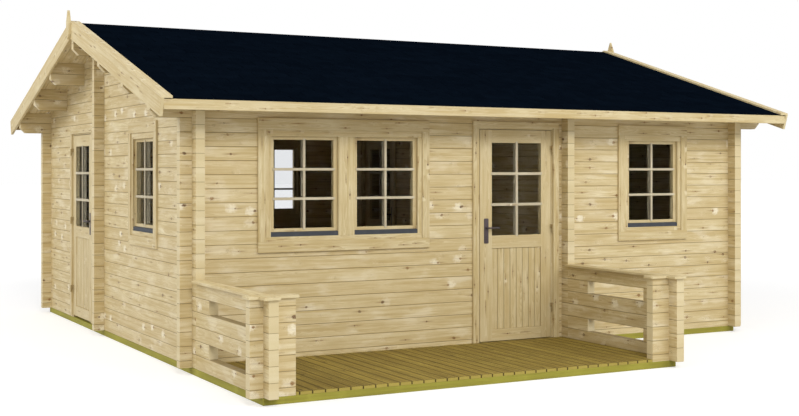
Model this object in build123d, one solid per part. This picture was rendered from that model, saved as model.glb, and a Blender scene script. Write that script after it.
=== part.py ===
"""Log cabin with a terrace: interlocked log walls, purlin roof, glazed windows and three hinged doors.

Millimetres. X runs along the front from left to right, Y from the front to the back and Z up.
The origin is on the ground, at the middle of the house walls' plan.
"""
from build123d import *
import math
import os

os.makedirs("parts", exist_ok=True)

# Logs
course = 114.0
log_thickness = 75.0
log_end = 100.0
groove_width = 9.0
groove_depth = 4.0

# House plan, over the outer faces of the walls
house_length = 5730.0
house_width = 5000.0
cross_wall_place = 3600.0
store_length = 1625.0
store_front_past_ridge = 140.0

# Wall plates and purlins are this many logs high
plate_courses = 2

# Ground frame and floors
bearer_height = 55.0
bearer_width = 75.0
floor_thickness = 22.0
floor_gap = 3.0
bearer_spacing = 600.0

# Terrace and railing
terrace_depth = 1512.0
rail_courses = 6
slot_courses = (1, 4)
slot_start = 404.0
slot_end_to_post = 327.0
post_inner_arm = 170.0
cap_width = 120.0
cap_thickness = 20.0
cap_left_overhang = 40.0
cap_end_overhang = 25.0
cap_chamfer = 12.0
cap_wall_gap = 0.5

# Roof
roof_pitch = 16.8
eave_overhang = 360.0
rake_overhang = 370.0
roof_board_thickness = 28.0
roofing_thickness = 8.0
fascia_thickness = 20.0
fascia_height = 88.0
bargeboard_width = 145.0
bargeboard_thickness = 25.0
bargeboard_past_eave = 15.0
cover_width = 92.0
cover_thickness = 18.0
purlin_chamfer = 56.0
finial_width = 100.0
finial_thickness = 25.0
finial_below = 165.0
finial_above = 118.0
finial_point = 110.0

# Windows: clear opening between the jambs, one kind in every wall
window_width = 615.0
window_height = 832.0
window_head_drop = 90.0
window_jamb = 30.0
sash_recess = 15.0
sash_thickness = 45.0
sash_stile = 35.0
sash_top_rail = 28.0
sash_bottom_rail = 67.0
sash_glass_setback = 8.0
glass_thickness = 6.0
casing_thickness = 20.0
casing_side = 115.0
casing_top = 150.0
casing_bottom = 128.0
casing_mullion = 152.0
sill_back_height = 37.0
sill_front_height = 30.0
sill_nose = 4.0
double_window_off_centre = 17.0
single_window_off_centre = 14.0
side_window_off_centre = -41.0
back_window_off_centre = 100.0

# Doors: one kind of leaf
leaf_width = 775.0
leaf_height = 1915.0
leaf_thickness = 40.0
door_gap = 5.0
door_stop_lap = 15.0
threshold_height = 22.0
door_jamb = 35.0
door_casing_side = 75.0
door_casing_top = 70.0
door_stile = 128.0
door_hinge_stile = 112.0
door_bottom_rail = 105.0
door_panel_height = 735.0
door_lock_rail = 116.0
door_top_rail = 118.0
panel_recess = 8.0
door_glass_setback = 2.0
front_door_from_cross_wall = 122.0
store_door_from_store_wall = 385.0
room_door_from_back_wall = 775.0

# Door fittings
handle_height = 1026.0
plate_width = 46.0
plate_height = 226.0
plate_thickness = 6.0
plate_from_edge = 66.0
lever_length = 122.0
lever_stem_radius = 9.0
lever_grip_radius = 8.9
lever_above_centre = 27.0
lever_reach = 48.0
hinge_radius = 8.0
hinge_half = 36.0
hinge_pin_gap = 1.0
hinge_leaf_width = 12.0
hinge_leaf_thickness = 3.0
hinge_above_leaf_bottom = 281.0
hinge_below_leaf_top = 176.0

# How far a cutting block runs past the face it cuts, and how close two heights count as one
past_face = 1.0
same_height = 1.0

# Courses of the walls: the logs along X start with half a log, and the plates lie just over the door frames
door_clear_height = threshold_height + door_gap + leaf_height + door_gap
wall_courses = math.ceil((door_clear_height + door_jamb) / course - 0.5)

# Places worked out from the sizes above
x_left = -house_length / 2
x_right = house_length / 2
y_front = -house_width / 2
y_back = house_width / 2
z_logs = bearer_height
x_cross = x_left + cross_wall_place
x_store = x_left + store_length
y_store = store_front_past_ridge
y_terrace = y_front - terrace_depth
z_side_top = z_logs + wall_courses * course
z_plate = z_logs + (wall_courses + 0.5) * course
z_rail = z_logs + rail_courses * course
slope = math.tan(math.radians(roof_pitch))
per_slope = 1 / math.cos(math.radians(roof_pitch))
z_seat = z_plate + plate_courses * course
z_ridge_seat = z_seat + (house_width / 2 - log_thickness) * slope
z_board_top = z_ridge_seat + roof_board_thickness * per_slope
z_roof_top = z_board_top + roofing_thickness * per_slope
purlin_end = rake_overhang - bargeboard_thickness
eave = house_width / 2 + eave_overhang

# Purlins: each one is two logs, and its inner top edge meets the underside of the roof boards
purlin_steps = 2
purlin_bottoms = [z_seat + k * plate_courses * course for k in range(purlin_steps)]
purlin_offsets = [log_thickness / 2 + (z_ridge_seat - z0 - plate_courses * course) / slope
                  for z0 in purlin_bottoms]
z_ridge_purlin = z_seat + purlin_steps * plate_courses * course

# Ground frame: long bearers lie under the Y walls and under the middle
bearer_places = [x_left, x_store, -bearer_width / 2, x_cross, x_right - bearer_width]

# Doors are made with the hinges on the right, seen from outside, and stand on the logs' lowest height
leaf_half = leaf_width / 2
door_half = leaf_half + door_gap + door_jamb
z_door_head = z_logs + door_clear_height + door_jamb
z_leaf = threshold_height + door_gap
hinge_x = leaf_half + door_gap / 2
hinge_y = -casing_thickness - hinge_radius
hinge_low = z_leaf + hinge_above_leaf_bottom
hinge_high = z_leaf + leaf_height - hinge_below_leaf_top
hinge_heights = (hinge_low, (hinge_low + hinge_high) / 2, hinge_high)
glass_low = z_leaf + door_bottom_rail + door_panel_height + door_lock_rail
glass_high = z_leaf + leaf_height - door_top_rail
inner_left = door_stile - leaf_half
inner_right = leaf_half - door_hinge_stile
x_front_door = x_cross - front_door_from_cross_wall - leaf_half
y_store_door = y_store + log_thickness + store_door_from_store_wall + leaf_half
y_room_door = y_back - log_thickness - room_door_from_back_wall - leaf_half
door_places = {
    "front_door": (x_front_door, y_front, 0, 1),
    "store_door": (y_store_door, x_left, -90, -1),
    "room_door": (y_room_door, x_cross + log_thickness, 90, 1),
}

# Windows: each is placed from the middle of the stretch of wall that it stands in
window_bottom = door_clear_height - window_head_drop - window_height
front_door_casing = x_front_door - leaf_half - door_gap - door_casing_side
window_centres = {
    "double": (x_left + log_thickness + front_door_casing) / 2 + double_window_off_centre,
    "single": (x_cross + x_right) / 2 + single_window_off_centre,
    "side": (y_front + log_thickness + y_store) / 2 + side_window_off_centre,
    "back": (x_store + log_thickness + x_cross) / 2 + back_window_off_centre,
}
window_places = [
    (window_centres["double"], y_front, 0, 2),
    (window_centres["single"], y_front, 0, 1),
    (window_centres["side"], x_left, -90, 1),
    (window_centres["back"], y_back, 180, 1),
]


def block(x0, x1, y0, y1, z0, z1):
    """A box between two corners."""
    return Pos(x0, y0, z0) * Box(x1 - x0, y1 - y0, z1 - z0, align=(Align.MIN, Align.MIN, Align.MIN))


def prism_x(points, x0, x1):
    """A (y, z) outline carried along X."""
    face = make_face(Polyline(*[(x0, y, z) for y, z in points], close=True))
    return extrude(face, amount=x1 - x0, dir=(1, 0, 0))


def prism_y(points, y0, y1):
    """An (x, z) outline carried along Y."""
    face = make_face(Polyline(*[(x, y0, z) for x, z in points], close=True))
    return extrude(face, amount=y1 - y0, dir=(0, 1, 0))


def grooved_edge(z0, z1, first_joint):
    """The edge of a stack of logs: (depth, z) points with a V at each joint between two logs."""
    half = groove_width / 2
    points = []
    joints = [z_logs + first_joint + course * k for k in range(2 * wall_courses)]
    if all(abs(z - z0) > same_height for z in joints):
        points.append((0, z0))
    for z in joints:
        if abs(z - z0) <= same_height:
            points += [(groove_depth, z0), (0, z0 + half)]
        elif abs(z - z1) <= same_height:
            points += [(0, z1 - half), (groove_depth, z1)]
        elif z0 < z < z1:
            points += [(0, z - half), (groove_depth, z), (0, z + half)]
    if all(abs(z - z1) > same_height for z in joints):
        points.append((0, z1))
    return points


def log_outline(near, z0, z1, first_joint):
    """The cross-section of a log wall whose near face stands at near."""
    edge = grooved_edge(z0, z1, first_joint)
    outer = [(near + depth, z) for depth, z in edge]
    inner = [(near + log_thickness - depth, z) for depth, z in reversed(edge)]
    return outer + inner


def logs_along_x(x0, x1, y, z0, z1):
    """Stacked logs along X; their joints lie at half courses."""
    return prism_x(log_outline(y, z0, z1, course / 2), x0, x1)


def logs_along_y(y0, y1, x, z0, z1):
    """Stacked logs along Y; their joints lie at whole courses."""
    return prism_y(log_outline(x, z0, z1, 0), y0, y1)


def laps(x, y, z0, z1, along_x):
    """The notches at a crossing: every other half course is left to the logs that run the other way."""
    notches = []
    shift = 0.25 if along_x else -0.25
    for k in range(-1, 2 * wall_courses):
        low = max(z_logs + (k + shift) * course, z0)
        high = min(z_logs + (k + shift + 0.5) * course, z1)
        if high - low > same_height:
            notches.append(block(x, x + log_thickness, y, y + log_thickness, low, high))
    return notches


def cut(solid, tools):
    """Takes every tool away from the solid."""
    return solid - tools if tools else solid


def under_roof(z_ridge, y0, y1, z_floor):
    """The outline under a roof surface that passes through z_ridge at the ridge."""
    points = [(y0, z_floor), (y1, z_floor), (y1, z_ridge - abs(y1) * slope)]
    if y0 < 0 < y1:
        points.append((0, z_ridge))
    return points + [(y0, z_ridge - abs(y0) * slope)]


def roof_space(x0, x1, y0, y1, z_floor):
    """The space under the roof boards, which tops of walls and purlins are cut to."""
    return prism_x(under_roof(z_ridge_seat, y0, y1, z_floor), x0, x1)


def save(shapes, name):
    """Writes one sub-part."""
    solids = [solid for shape in shapes for solid in shape.solids()]
    whole = solids[0] if len(solids) == 1 else Compound(children=solids)
    export_step(whole, f"parts/{name}.step")


def bearer_rows():
    """The left edges of the long bearers: under each Y wall, at the middle, and evenly spaced between."""
    rows = []
    for start, end in zip(bearer_places, bearer_places[1:]):
        bays = max(1, round((end - start) / bearer_spacing))
        rows += [start + (end - start) * k / bays for k in range(bays)]
    return rows + [bearer_places[-1]]


def reaches_terrace(x):
    """Whether a long bearer runs out under the terrace."""
    return x < x_cross + bearer_width


def make_ground_frame():
    """Long bearers on the ground, and the cross bearers between them and along the X walls."""
    long_bearers = []
    cross_bearers = []
    rows = bearer_rows()
    for x in rows:
        start = y_terrace + bearer_width if reaches_terrace(x) else y_front + bearer_width
        long_bearers.append(block(x, x + bearer_width, start, y_back - bearer_width, 0, z_logs))
    y_front_inner = y_front + bearer_width
    cross_bearers.append(block(x_left, x_cross + log_thickness, y_terrace, y_terrace + bearer_width,
                               0, z_logs))
    cross_bearers.append(block(x_left, x_right, y_back - bearer_width, y_back, 0, z_logs))
    cross_bearers.append(block(x_cross + bearer_width, x_right, y_front, y_front_inner, 0, z_logs))
    for left, right in zip(rows, rows[1:]):
        if reaches_terrace(right):
            cross_bearers.append(block(left + bearer_width, right, y_front, y_front_inner, 0, z_logs))
    save(long_bearers, "long_bearers")
    save(cross_bearers, "cross_bearers")


def make_floors():
    """The floors of the three rooms and the deck of the terrace, as plain sheets."""
    z1 = z_logs + floor_thickness
    inner_front = y_front + log_thickness + floor_gap
    inner_back = y_back - log_thickness - floor_gap
    x_main_left = x_left + log_thickness + floor_gap
    x_main_right = x_cross - floor_gap
    x_room_left = x_cross + log_thickness + floor_gap
    x_room_right = x_right - log_thickness - floor_gap
    main = block(x_main_left, x_main_right, inner_front, inner_back, z_logs, z1)
    store = block(x_main_left - floor_gap, x_store + log_thickness + floor_gap,
                  y_store - floor_gap, inner_back + floor_gap, z_logs, z1)
    arm = block(x_store + log_thickness, x_store + log_thickness + log_end + floor_gap,
                y_store - floor_gap, y_store + log_thickness + floor_gap, z_logs, z1)
    stub = block(x_store - floor_gap, x_store + log_thickness + floor_gap,
                 y_store - log_end - floor_gap, y_store, z_logs, z1)
    main = cut(main, [store, arm, stub])
    store_floor = block(x_main_left, x_store - floor_gap,
                        y_store + log_thickness + floor_gap, inner_back, z_logs, z1)
    room = block(x_room_left, x_room_right, inner_front, inner_back, z_logs, z1)
    save([main, store_floor, room], "house_floor")
    deck = block(x_left + log_thickness + floor_gap, x_cross - floor_gap, y_terrace, y_front, z_logs, z1)
    post_feet = [block(x - floor_gap, x + post_inner_arm + floor_gap, y_terrace - floor_gap,
                       y_terrace + log_thickness + floor_gap, z_logs, z1)
                 for x in (x_left + log_thickness, x_cross - post_inner_arm)]
    save([cut(deck, post_feet)], "terrace_deck")


def window_hole_x(centre, y, panes=1):
    """The hole through an X wall for a window frame of one or two panes."""
    half = (panes * window_width + (panes - 1) * casing_mullion) / 2 + window_jamb
    z0 = z_logs + window_bottom - window_jamb
    return block(centre - half, centre + half, y - past_face, y + log_thickness + past_face,
                 z0, z0 + window_height + 2 * window_jamb)


def window_hole_y(centre, x):
    """The hole through a Y wall for a window frame of one pane."""
    half = window_width / 2 + window_jamb
    z0 = z_logs + window_bottom - window_jamb
    return block(x - past_face, x + log_thickness + past_face, centre - half, centre + half,
                 z0, z0 + window_height + 2 * window_jamb)


def door_head_hole(centre, x):
    """What the top of a Y wall leaves free where a door's frame rises past the last full course."""
    return block(x - past_face, x + log_thickness + past_face, centre - door_half, centre + door_half,
                 min(z_side_top, z_door_head) - past_face, z_door_head)


def make_front_and_back_walls():
    """The X walls up to the plates; the front one stands in two parts beside its door."""
    z1 = z_plate
    door_left = x_front_door - door_half
    door_right = x_front_door + door_half
    y_rear = y_back - log_thickness
    left = logs_along_x(x_left - log_end, door_left, y_front, z_logs, z1)
    left_hole = window_hole_x(window_centres["double"], y_front, panes=2)
    left = cut(left, laps(x_left, y_front, z_logs, z1, True) + [left_hole])
    right = logs_along_x(door_right, x_right + log_end, y_front, z_logs, z1)
    right_hole = window_hole_x(window_centres["single"], y_front)
    right = cut(right, laps(x_cross, y_front, z_logs, z1, True)
                + laps(x_right - log_thickness, y_front, z_logs, z1, True) + [right_hole])
    back = logs_along_x(x_left - log_end, x_right + log_end, y_rear, z_logs, z1)
    back_laps = []
    for x in (x_left, x_store, x_cross, x_right - log_thickness):
        back_laps += laps(x, y_rear, z_logs, z1, True)
    back = cut(back, back_laps + [window_hole_x(window_centres["back"], y_rear)])
    save([left], "front_wall_left")
    save([right], "front_wall_right")
    save([back], "back_wall")


def purlin(y, z0, z1):
    """Two stacked logs from rake to rake, with the lower corners of both ends cut off."""
    x0 = x_left - purlin_end
    x1 = x_right + purlin_end
    logs = logs_along_x(x0, x1, y, z0, z1)
    z_cut = z0 + purlin_chamfer
    for x, inward in ((x0, 1), (x1, -1)):
        beyond = x - inward * past_face
        corner = [(beyond, z0 - past_face), (x + inward * purlin_chamfer, z0 - past_face),
                  (x + inward * purlin_chamfer, z0), (x, z_cut), (beyond, z_cut)]
        logs = logs - prism_y(corner, y - past_face, y + log_thickness + past_face)
    return logs & roof_space(x0, x1, y, y + log_thickness, z0 - past_face)


def purlin_sections():
    """Where purlins and plates run: (near face, lowest height) of each."""
    rows = [(-log_thickness / 2, z_ridge_purlin), (y_front, z_plate), (y_back - log_thickness, z_plate)]
    for offset, z0 in zip(purlin_offsets, purlin_bottoms):
        rows += [(-offset - log_thickness / 2, z0), (offset - log_thickness / 2, z0)]
    return rows


def make_purlins():
    """The plates on the X walls, and the ridge and side purlins over the rooms."""
    pieces = [(purlin(y, z0, z_ridge_seat + past_face), z0) for y, z0 in purlin_sections()]
    save([piece for piece, z0 in pieces if z0 == z_plate], "wall_plates")
    save([piece for piece, z0 in pieces if z0 > z_plate], "purlins")


def purlin_holes(x):
    """Where every purlin passes through a Y wall whose near face stands at x."""
    return [block(x - past_face, x + log_thickness + past_face, y, y + log_thickness, z0, z_roof_top)
            for y, z0 in purlin_sections()]


def corner_laps(x, z0, z1):
    """The notches of a Y wall at the front and the back wall."""
    return laps(x, y_front, z0, z1, False) + laps(x, y_back - log_thickness, z0, z1, False)


def gable(x, tools=()):
    """The top of a Y wall, from the last full course to the roof."""
    y0 = y_front - log_end
    y1 = y_back + log_end
    logs = logs_along_y(y0, y1, x, z_side_top, z_ridge_seat + past_face)
    logs = logs & roof_space(x - past_face, x + log_thickness + past_face, y0, y1, z_side_top - past_face)
    return cut(logs, purlin_holes(x) + corner_laps(x, z_side_top, z_plate) + list(tools))


def wall_before_door(x, door_centre, tools=()):
    """A Y wall from the front corner to a door, up to the last full course."""
    logs = logs_along_y(y_front - log_end, door_centre - door_half, x, z_logs, z_side_top)
    return cut(logs, laps(x, y_front, z_logs, z_side_top, False) + list(tools))


def wall_after_door(x, door_centre):
    """A Y wall from a door to the back corner, up to the last full course."""
    logs = logs_along_y(door_centre + door_half, y_back + log_end, x, z_logs, z_side_top)
    return cut(logs, laps(x, y_back - log_thickness, z_logs, z_side_top, False))


def make_side_walls():
    """The left wall beside its door, the right wall, and the gables on both."""
    store_laps = laps(x_left, y_store, z_logs, z_side_top, False)
    window = window_hole_y(window_centres["side"], x_left)
    x_right_wall = x_right - log_thickness
    right = logs_along_y(y_front - log_end, y_back + log_end, x_right_wall, z_logs, z_side_top)
    left_gable = gable(x_left, [door_head_hole(y_store_door, x_left)]
                       + laps(x_left, y_store, z_side_top, z_ridge_seat, False))
    save([wall_before_door(x_left, y_store_door, store_laps + [window])], "left_wall_front")
    save([wall_after_door(x_left, y_store_door)], "left_wall_back")
    save([cut(right, corner_laps(x_right_wall, z_logs, z_side_top))], "right_wall")
    save([left_gable, gable(x_right_wall)], "gables")


def make_cross_wall():
    """The wall between the main room and the right room, beside and over its door."""
    save([wall_before_door(x_cross, y_room_door), wall_after_door(x_cross, y_room_door)], "cross_wall_sides")
    save([gable(x_cross, [door_head_hole(y_room_door, x_cross)])], "cross_wall_top")


def make_store_walls():
    """The two walls of the store, from the floor to the roof boards."""
    x_end = x_store + log_thickness + log_end
    y0 = y_store - log_end
    y1 = y_back + log_end
    across = logs_along_x(x_left - log_end, x_end, y_store, z_logs, z_ridge_seat + past_face)
    across = across & roof_space(x_left - log_end, x_end, y_store, y_store + log_thickness, z_logs)
    across = cut(across, laps(x_left, y_store, z_logs, z_ridge_seat, True)
                 + laps(x_store, y_store, z_logs, z_ridge_seat, True))
    along = logs_along_y(y0, y1, x_store, z_logs, z_ridge_seat + past_face)
    along = along & roof_space(x_store, x_store + log_thickness, y0, y1, z_logs)
    along = cut(along, purlin_holes(x_store) + laps(x_store, y_store, z_logs, z_ridge_seat, False)
                + laps(x_store, y_back - log_thickness, z_logs, z_plate, False))
    save([across], "store_wall_front")
    save([along], "store_wall_side")


def railing(x):
    """The lowest logs of a Y wall, run out along the terrace, with two courses left open."""
    rail = logs_along_y(y_terrace - log_end, y_front - log_end, x, z_logs, z_rail)
    for first in slot_courses:
        z0 = z_logs + first * course
        rail = rail - block(x - past_face, x + log_thickness + past_face, y_terrace + slot_end_to_post,
                            y_front - slot_start, z0, z0 + course)
    return cut(rail, laps(x, y_terrace, z_logs, z_rail, False))


def rail_post(x0, x1, x):
    """Short logs across the end of a railing."""
    post = logs_along_x(x0, x1, y_terrace, z_logs, z_rail)
    return cut(post, laps(x, y_terrace, z_logs, z_rail, True))


def rail_cap(x_board, cross_left, cross_right):
    """The board on a railing, with a cross board of cut corners over the post."""
    z1 = z_rail + cap_thickness
    board = block(x_board, x_board + cap_width, y_terrace - log_end - cap_end_overhang,
                  y_front - log_end - cap_wall_gap, z_rail, z1)
    middle = y_terrace + log_thickness / 2
    cross = block(cross_left, cross_right, middle - cap_width / 2, middle + cap_width / 2, z_rail, z1)
    cap = board + cross
    tips = [edge for edge in cap.edges().filter_by(Axis.Z)
            if min(abs(edge.center().X - cross_left), abs(edge.center().X - cross_right)) < past_face
            and abs(edge.center().Y - middle) < cap_width / 2 + past_face]
    return chamfer(tips, cap_chamfer)


def make_railings():
    """Both railings of the terrace, with their posts and cap boards."""
    save([railing(x_left), railing(x_cross)], "railings")
    left_arm = x_left - log_end
    left_end = x_left + log_thickness + post_inner_arm
    right_arm = x_cross - post_inner_arm
    right_end = x_cross + log_thickness
    left_board = x_left - cap_left_overhang
    right_board = x_cross - cap_left_overhang
    save([rail_post(left_arm, left_end, x_left), rail_post(right_arm, right_end, x_cross)], "railing_posts")
    save([rail_cap(left_board, left_arm - cap_end_overhang, left_end + cap_end_overhang),
          rail_cap(right_board, right_arm - cap_end_overhang, right_board + cap_width)], "railing_caps")


def roof_layer(side, z_low_ridge, thickness, y_end, x0, x1):
    """A sheet of roof on one slope: side is -1 for the front and 1 for the back."""
    rise = thickness * per_slope
    drop = abs(y_end) * slope
    return prism_x([(0, z_low_ridge), (0, z_low_ridge + rise), (side * abs(y_end), z_low_ridge + rise - drop),
                    (side * abs(y_end), z_low_ridge - drop)], x0, x1)


def make_roof():
    """The boards and the roofing on both slopes, and the fascias at the eaves."""
    x0 = x_left - purlin_end
    x1 = x_right + purlin_end
    board_end = eave - fascia_thickness
    for side, name in ((-1, "front"), (1, "back")):
        save([roof_layer(side, z_ridge_seat, roof_board_thickness, board_end, x0, x1)], f"roof_boards_{name}")
        save([roof_layer(side, z_board_top, roofing_thickness, eave, x0, x1)], f"roofing_{name}")
    z_under = z_board_top - eave * slope
    z_low = z_roof_top - eave * slope - fascia_height
    fascias = []
    for side in (-1, 1):
        outline = [(side * eave, z_low), (side * eave, z_under),
                   (side * board_end, z_under + fascia_thickness * slope), (side * board_end, z_low)]
        fascias.append(prism_x(outline, x0, x1))
    save(fascias, "eave_fascias")


def make_rakes():
    """The bargeboards with their ends cut square, the flat boards that cover the roofing, and the finials."""
    end = eave + bargeboard_past_eave
    drop = bargeboard_width * per_slope
    end_low = end - drop * slope / per_slope ** 2
    rakes = ((x_left - rake_overhang, x_left - purlin_end), (x_right + purlin_end, x_right + rake_overhang))
    covers = ((x_left - rake_overhang, x_left - rake_overhang + cover_width),
              (x_right + rake_overhang - cover_width, x_right + rake_overhang))
    for side, name in ((-1, "front"), (1, "back")):
        boards = []
        for x0, x1 in rakes:
            outline = [(0, z_roof_top), (0, z_roof_top - drop),
                       (side * end_low, z_roof_top - drop - end_low * slope),
                       (side * end, z_roof_top - end * slope)]
            boards.append(prism_x(outline, x0, x1))
        save(boards, f"bargeboards_{name}")
        save([roof_layer(side, z_roof_top, cover_thickness, end, x0, x1) for x0, x1 in covers],
             f"rake_covers_{name}")
    finials = []
    for x0, x1 in ((x_left - rake_overhang - finial_thickness, x_left - rake_overhang),
                   (x_right + rake_overhang, x_right + rake_overhang + finial_thickness)):
        half = finial_width / 2
        top = z_roof_top + finial_above
        low = z_roof_top - finial_below
        finials.append(prism_x([(-half, low + half), (0, low), (half, low + half), (half, top - finial_point),
                                (0, top), (-half, top - finial_point)], x0, x1))
    save(finials, "finials")


def in_wall(shape, centre, face, turn):
    """Sets a frame, sash or door into its wall.

    The piece is made with X across the opening, -Y outward and Y = 0 on the wall's outer face.
    """
    return Pos(*centre_point(centre, face, turn)) * Rot(0, 0, turn) * shape


def centre_point(centre, face, turn):
    """The point on the wall's outer face under the middle of an opening."""
    return (centre, face, z_logs) if turn in (0, 180) else (face, centre, z_logs)


def pane_centres(panes):
    """The middles of a window's panes, from the middle of the window."""
    pitch = window_width + casing_mullion
    return [pitch * (k - (panes - 1) / 2) for k in range(panes)]


def window_frame(panes):
    """A frame in the wall, with flat casing on both faces."""
    half = (panes * window_width + (panes - 1) * casing_mullion) / 2
    z0 = window_bottom
    z1 = window_bottom + window_height
    frame = block(-half - window_jamb, half + window_jamb, 0, log_thickness,
                  z0 - window_jamb, z1 + window_jamb)
    for y in (-casing_thickness, log_thickness):
        frame = frame + block(-half - casing_side, half + casing_side, y, y + casing_thickness,
                              z0 - casing_bottom, z1 + casing_top)
    for x in pane_centres(panes):
        frame = frame - block(x - window_width / 2, x + window_width / 2, -casing_thickness - past_face,
                              log_thickness + casing_thickness + past_face, z0, z1)
    return frame


def sash(x):
    """The glazed frame of one pane, without its bars."""
    half = window_width / 2
    z0 = window_bottom
    z1 = window_bottom + window_height
    ring = block(x - half, x + half, sash_recess, sash_recess + sash_thickness, z0, z1)
    return ring - block(x - half + sash_stile, x + half - sash_stile, sash_recess - past_face,
                        sash_recess + sash_thickness + past_face, z0 + sash_bottom_rail, z1 - sash_top_rail)


def sash_glass(x):
    """The sheet of glass that fills a sash."""
    half = window_width / 2 - sash_stile
    face = sash_recess + sash_glass_setback
    return block(x - half, x + half, face, face + glass_thickness,
                 window_bottom + sash_bottom_rail, window_bottom + window_height - sash_top_rail)


def sill(x):
    """The sloped metal sill in front of a sash."""
    z0 = window_bottom
    outline = [(sash_recess, z0), (sash_recess, z0 + sill_back_height),
               (-sill_nose, z0 + sill_front_height), (-sill_nose, z0)]
    return prism_x(outline, x - window_width / 2, x + window_width / 2)


def make_windows():
    """Frames, sashes, glass and sills of all windows."""
    frames, sashes, panes, sills = [], [], [], []
    for centre, face, turn, count in window_places:
        frames.append(in_wall(window_frame(count), centre, face, turn))
        for x in pane_centres(count):
            sashes.append(in_wall(sash(x), centre, face, turn))
            panes.append(in_wall(sash_glass(x), centre, face, turn))
            sills.append(in_wall(sill(x), centre, face, turn))
    save(frames, "window_frames")
    save(sashes, "window_sashes")
    save(panes, "window_glass")
    save(sills, "window_sills")


def door_frame():
    """Jambs, head, stops and a threshold behind the leaf, with flat casing on both faces."""
    clear = leaf_half + door_gap
    z1 = door_clear_height
    behind_leaf = leaf_thickness + door_gap
    frame = block(-door_half, door_half, 0, log_thickness, 0, z1 + door_jamb)
    for y in (-casing_thickness, log_thickness):
        frame = frame + block(-clear - door_casing_side, clear + door_casing_side, y, y + casing_thickness,
                              floor_thickness, z1 + door_casing_top)
    frame = frame - block(-clear, clear, -casing_thickness - past_face,
                          log_thickness + casing_thickness + past_face, threshold_height, z1)
    frame = frame - block(-clear, clear, -casing_thickness - past_face, behind_leaf, -past_face,
                          threshold_height + past_face)
    stop = door_gap + door_stop_lap
    stops = block(-clear, clear, behind_leaf, log_thickness, threshold_height, z1)
    return frame + (stops - block(-clear + stop, clear - stop, leaf_thickness, log_thickness + past_face,
                                  threshold_height - past_face, z1 - stop))


def door_leaf():
    """A leaf with an opening for glass above and a recessed boarded panel below."""
    leaf = block(-leaf_half, leaf_half, 0, leaf_thickness, z_leaf, z_leaf + leaf_height)
    leaf = leaf - block(inner_left, inner_right, -past_face, leaf_thickness + past_face, glass_low, glass_high)
    low = z_leaf + door_bottom_rail
    for y in (0, leaf_thickness - panel_recess):
        leaf = leaf - block(inner_left, inner_right, y, y + panel_recess, low, low + door_panel_height)
    return leaf


def door_glass():
    """The sheet of glass in a leaf."""
    return block(inner_left, inner_right, door_glass_setback, door_glass_setback + glass_thickness,
                 glass_low, glass_high)


def lever_handle(face, outward):
    """A plate and a lever on one face of a leaf, near the free edge."""
    x = -leaf_half + plate_from_edge
    near, far = sorted((face, face + outward * plate_thickness))
    plate = block(x - plate_width / 2, x + plate_width / 2, near, far,
                  handle_height - plate_height / 2, handle_height + plate_height / 2)
    z = handle_height + lever_above_centre
    stem_length = lever_reach - plate_thickness
    stem = Pos(x, face + outward * (plate_thickness + stem_length / 2), z) * Rot(90, 0, 0) * Cylinder(
        lever_stem_radius, stem_length)
    grip_middle = face + outward * (lever_reach - lever_stem_radius)
    grip = Pos(x + lever_length / 2, grip_middle, z) * Rot(0, 90, 0) * Cylinder(
        lever_grip_radius, lever_length)
    return plate + stem + grip


def hinge_leaf_half(z):
    """The upper knuckle of a hinge, with its flag on the leaf's face."""
    knuckle = Pos(hinge_x, hinge_y, z + hinge_pin_gap / 2) * Cylinder(
        hinge_radius, hinge_half, align=(Align.CENTER, Align.CENTER, Align.MIN))
    arm = block(leaf_half - hinge_leaf_width, hinge_x, -hinge_leaf_thickness, 0,
                z + hinge_pin_gap / 2, z + hinge_pin_gap / 2 + hinge_half)
    web = block(hinge_x - door_gap / 2 - hinge_leaf_thickness, hinge_x - door_gap / 2, hinge_y, 0,
                z + hinge_pin_gap / 2, z + hinge_pin_gap / 2 + hinge_half)
    return knuckle + arm + web


def hinge_frame_half(z):
    """The lower knuckle of a hinge, with its flag on the casing."""
    low = z - hinge_pin_gap / 2 - hinge_half
    knuckle = Pos(hinge_x, hinge_y, low) * Cylinder(
        hinge_radius, hinge_half, align=(Align.CENTER, Align.CENTER, Align.MIN))
    arm = block(hinge_x, hinge_x + hinge_leaf_width, -casing_thickness - hinge_leaf_thickness,
                -casing_thickness, low, low + hinge_half)
    return knuckle + arm


def make_doors():
    """The frames and hinge sockets of the house, and each door's leaf, glass and fittings."""
    frames, sockets = [], []
    for name, (centre, face, turn, hand) in door_places.items():
        def place(shape):
            handed = shape if hand > 0 else mirror(shape, about=Plane.YZ)
            return in_wall(handed, centre, face, turn)
        frames.append(place(door_frame()))
        sockets += [place(hinge_frame_half(z)) for z in hinge_heights]
        save([place(door_leaf())], f"{name}_leaf")
        save([place(door_glass())], f"{name}_glass")
        save([place(lever_handle(0, -1)), place(lever_handle(leaf_thickness, 1))]
             + [place(hinge_leaf_half(z)) for z in hinge_heights], f"{name}_fittings")
    save(frames, "door_frames")
    save(sockets, "hinge_sockets")


make_ground_frame()
make_floors()
make_front_and_back_walls()
make_purlins()
make_side_walls()
make_cross_wall()
make_store_walls()
make_railings()
make_roof()
make_rakes()
make_windows()
make_doors()
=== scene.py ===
"""Looks of the log cabin: its timber, glazing, ironwork and roofing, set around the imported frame.

Metres, in the frame's own axes: X along the front, Y to the back and Z up. An opening has axes of
its own: X across it, -Y outward, Z up from the lowest log, and Y = 0 on the wall's outer face.
"""

import logging
import math
import random
from collections.abc import Callable, Iterable
from dataclasses import dataclass, field
from enum import Enum

import bmesh
import bpy
from mathutils import Matrix, Vector


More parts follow.
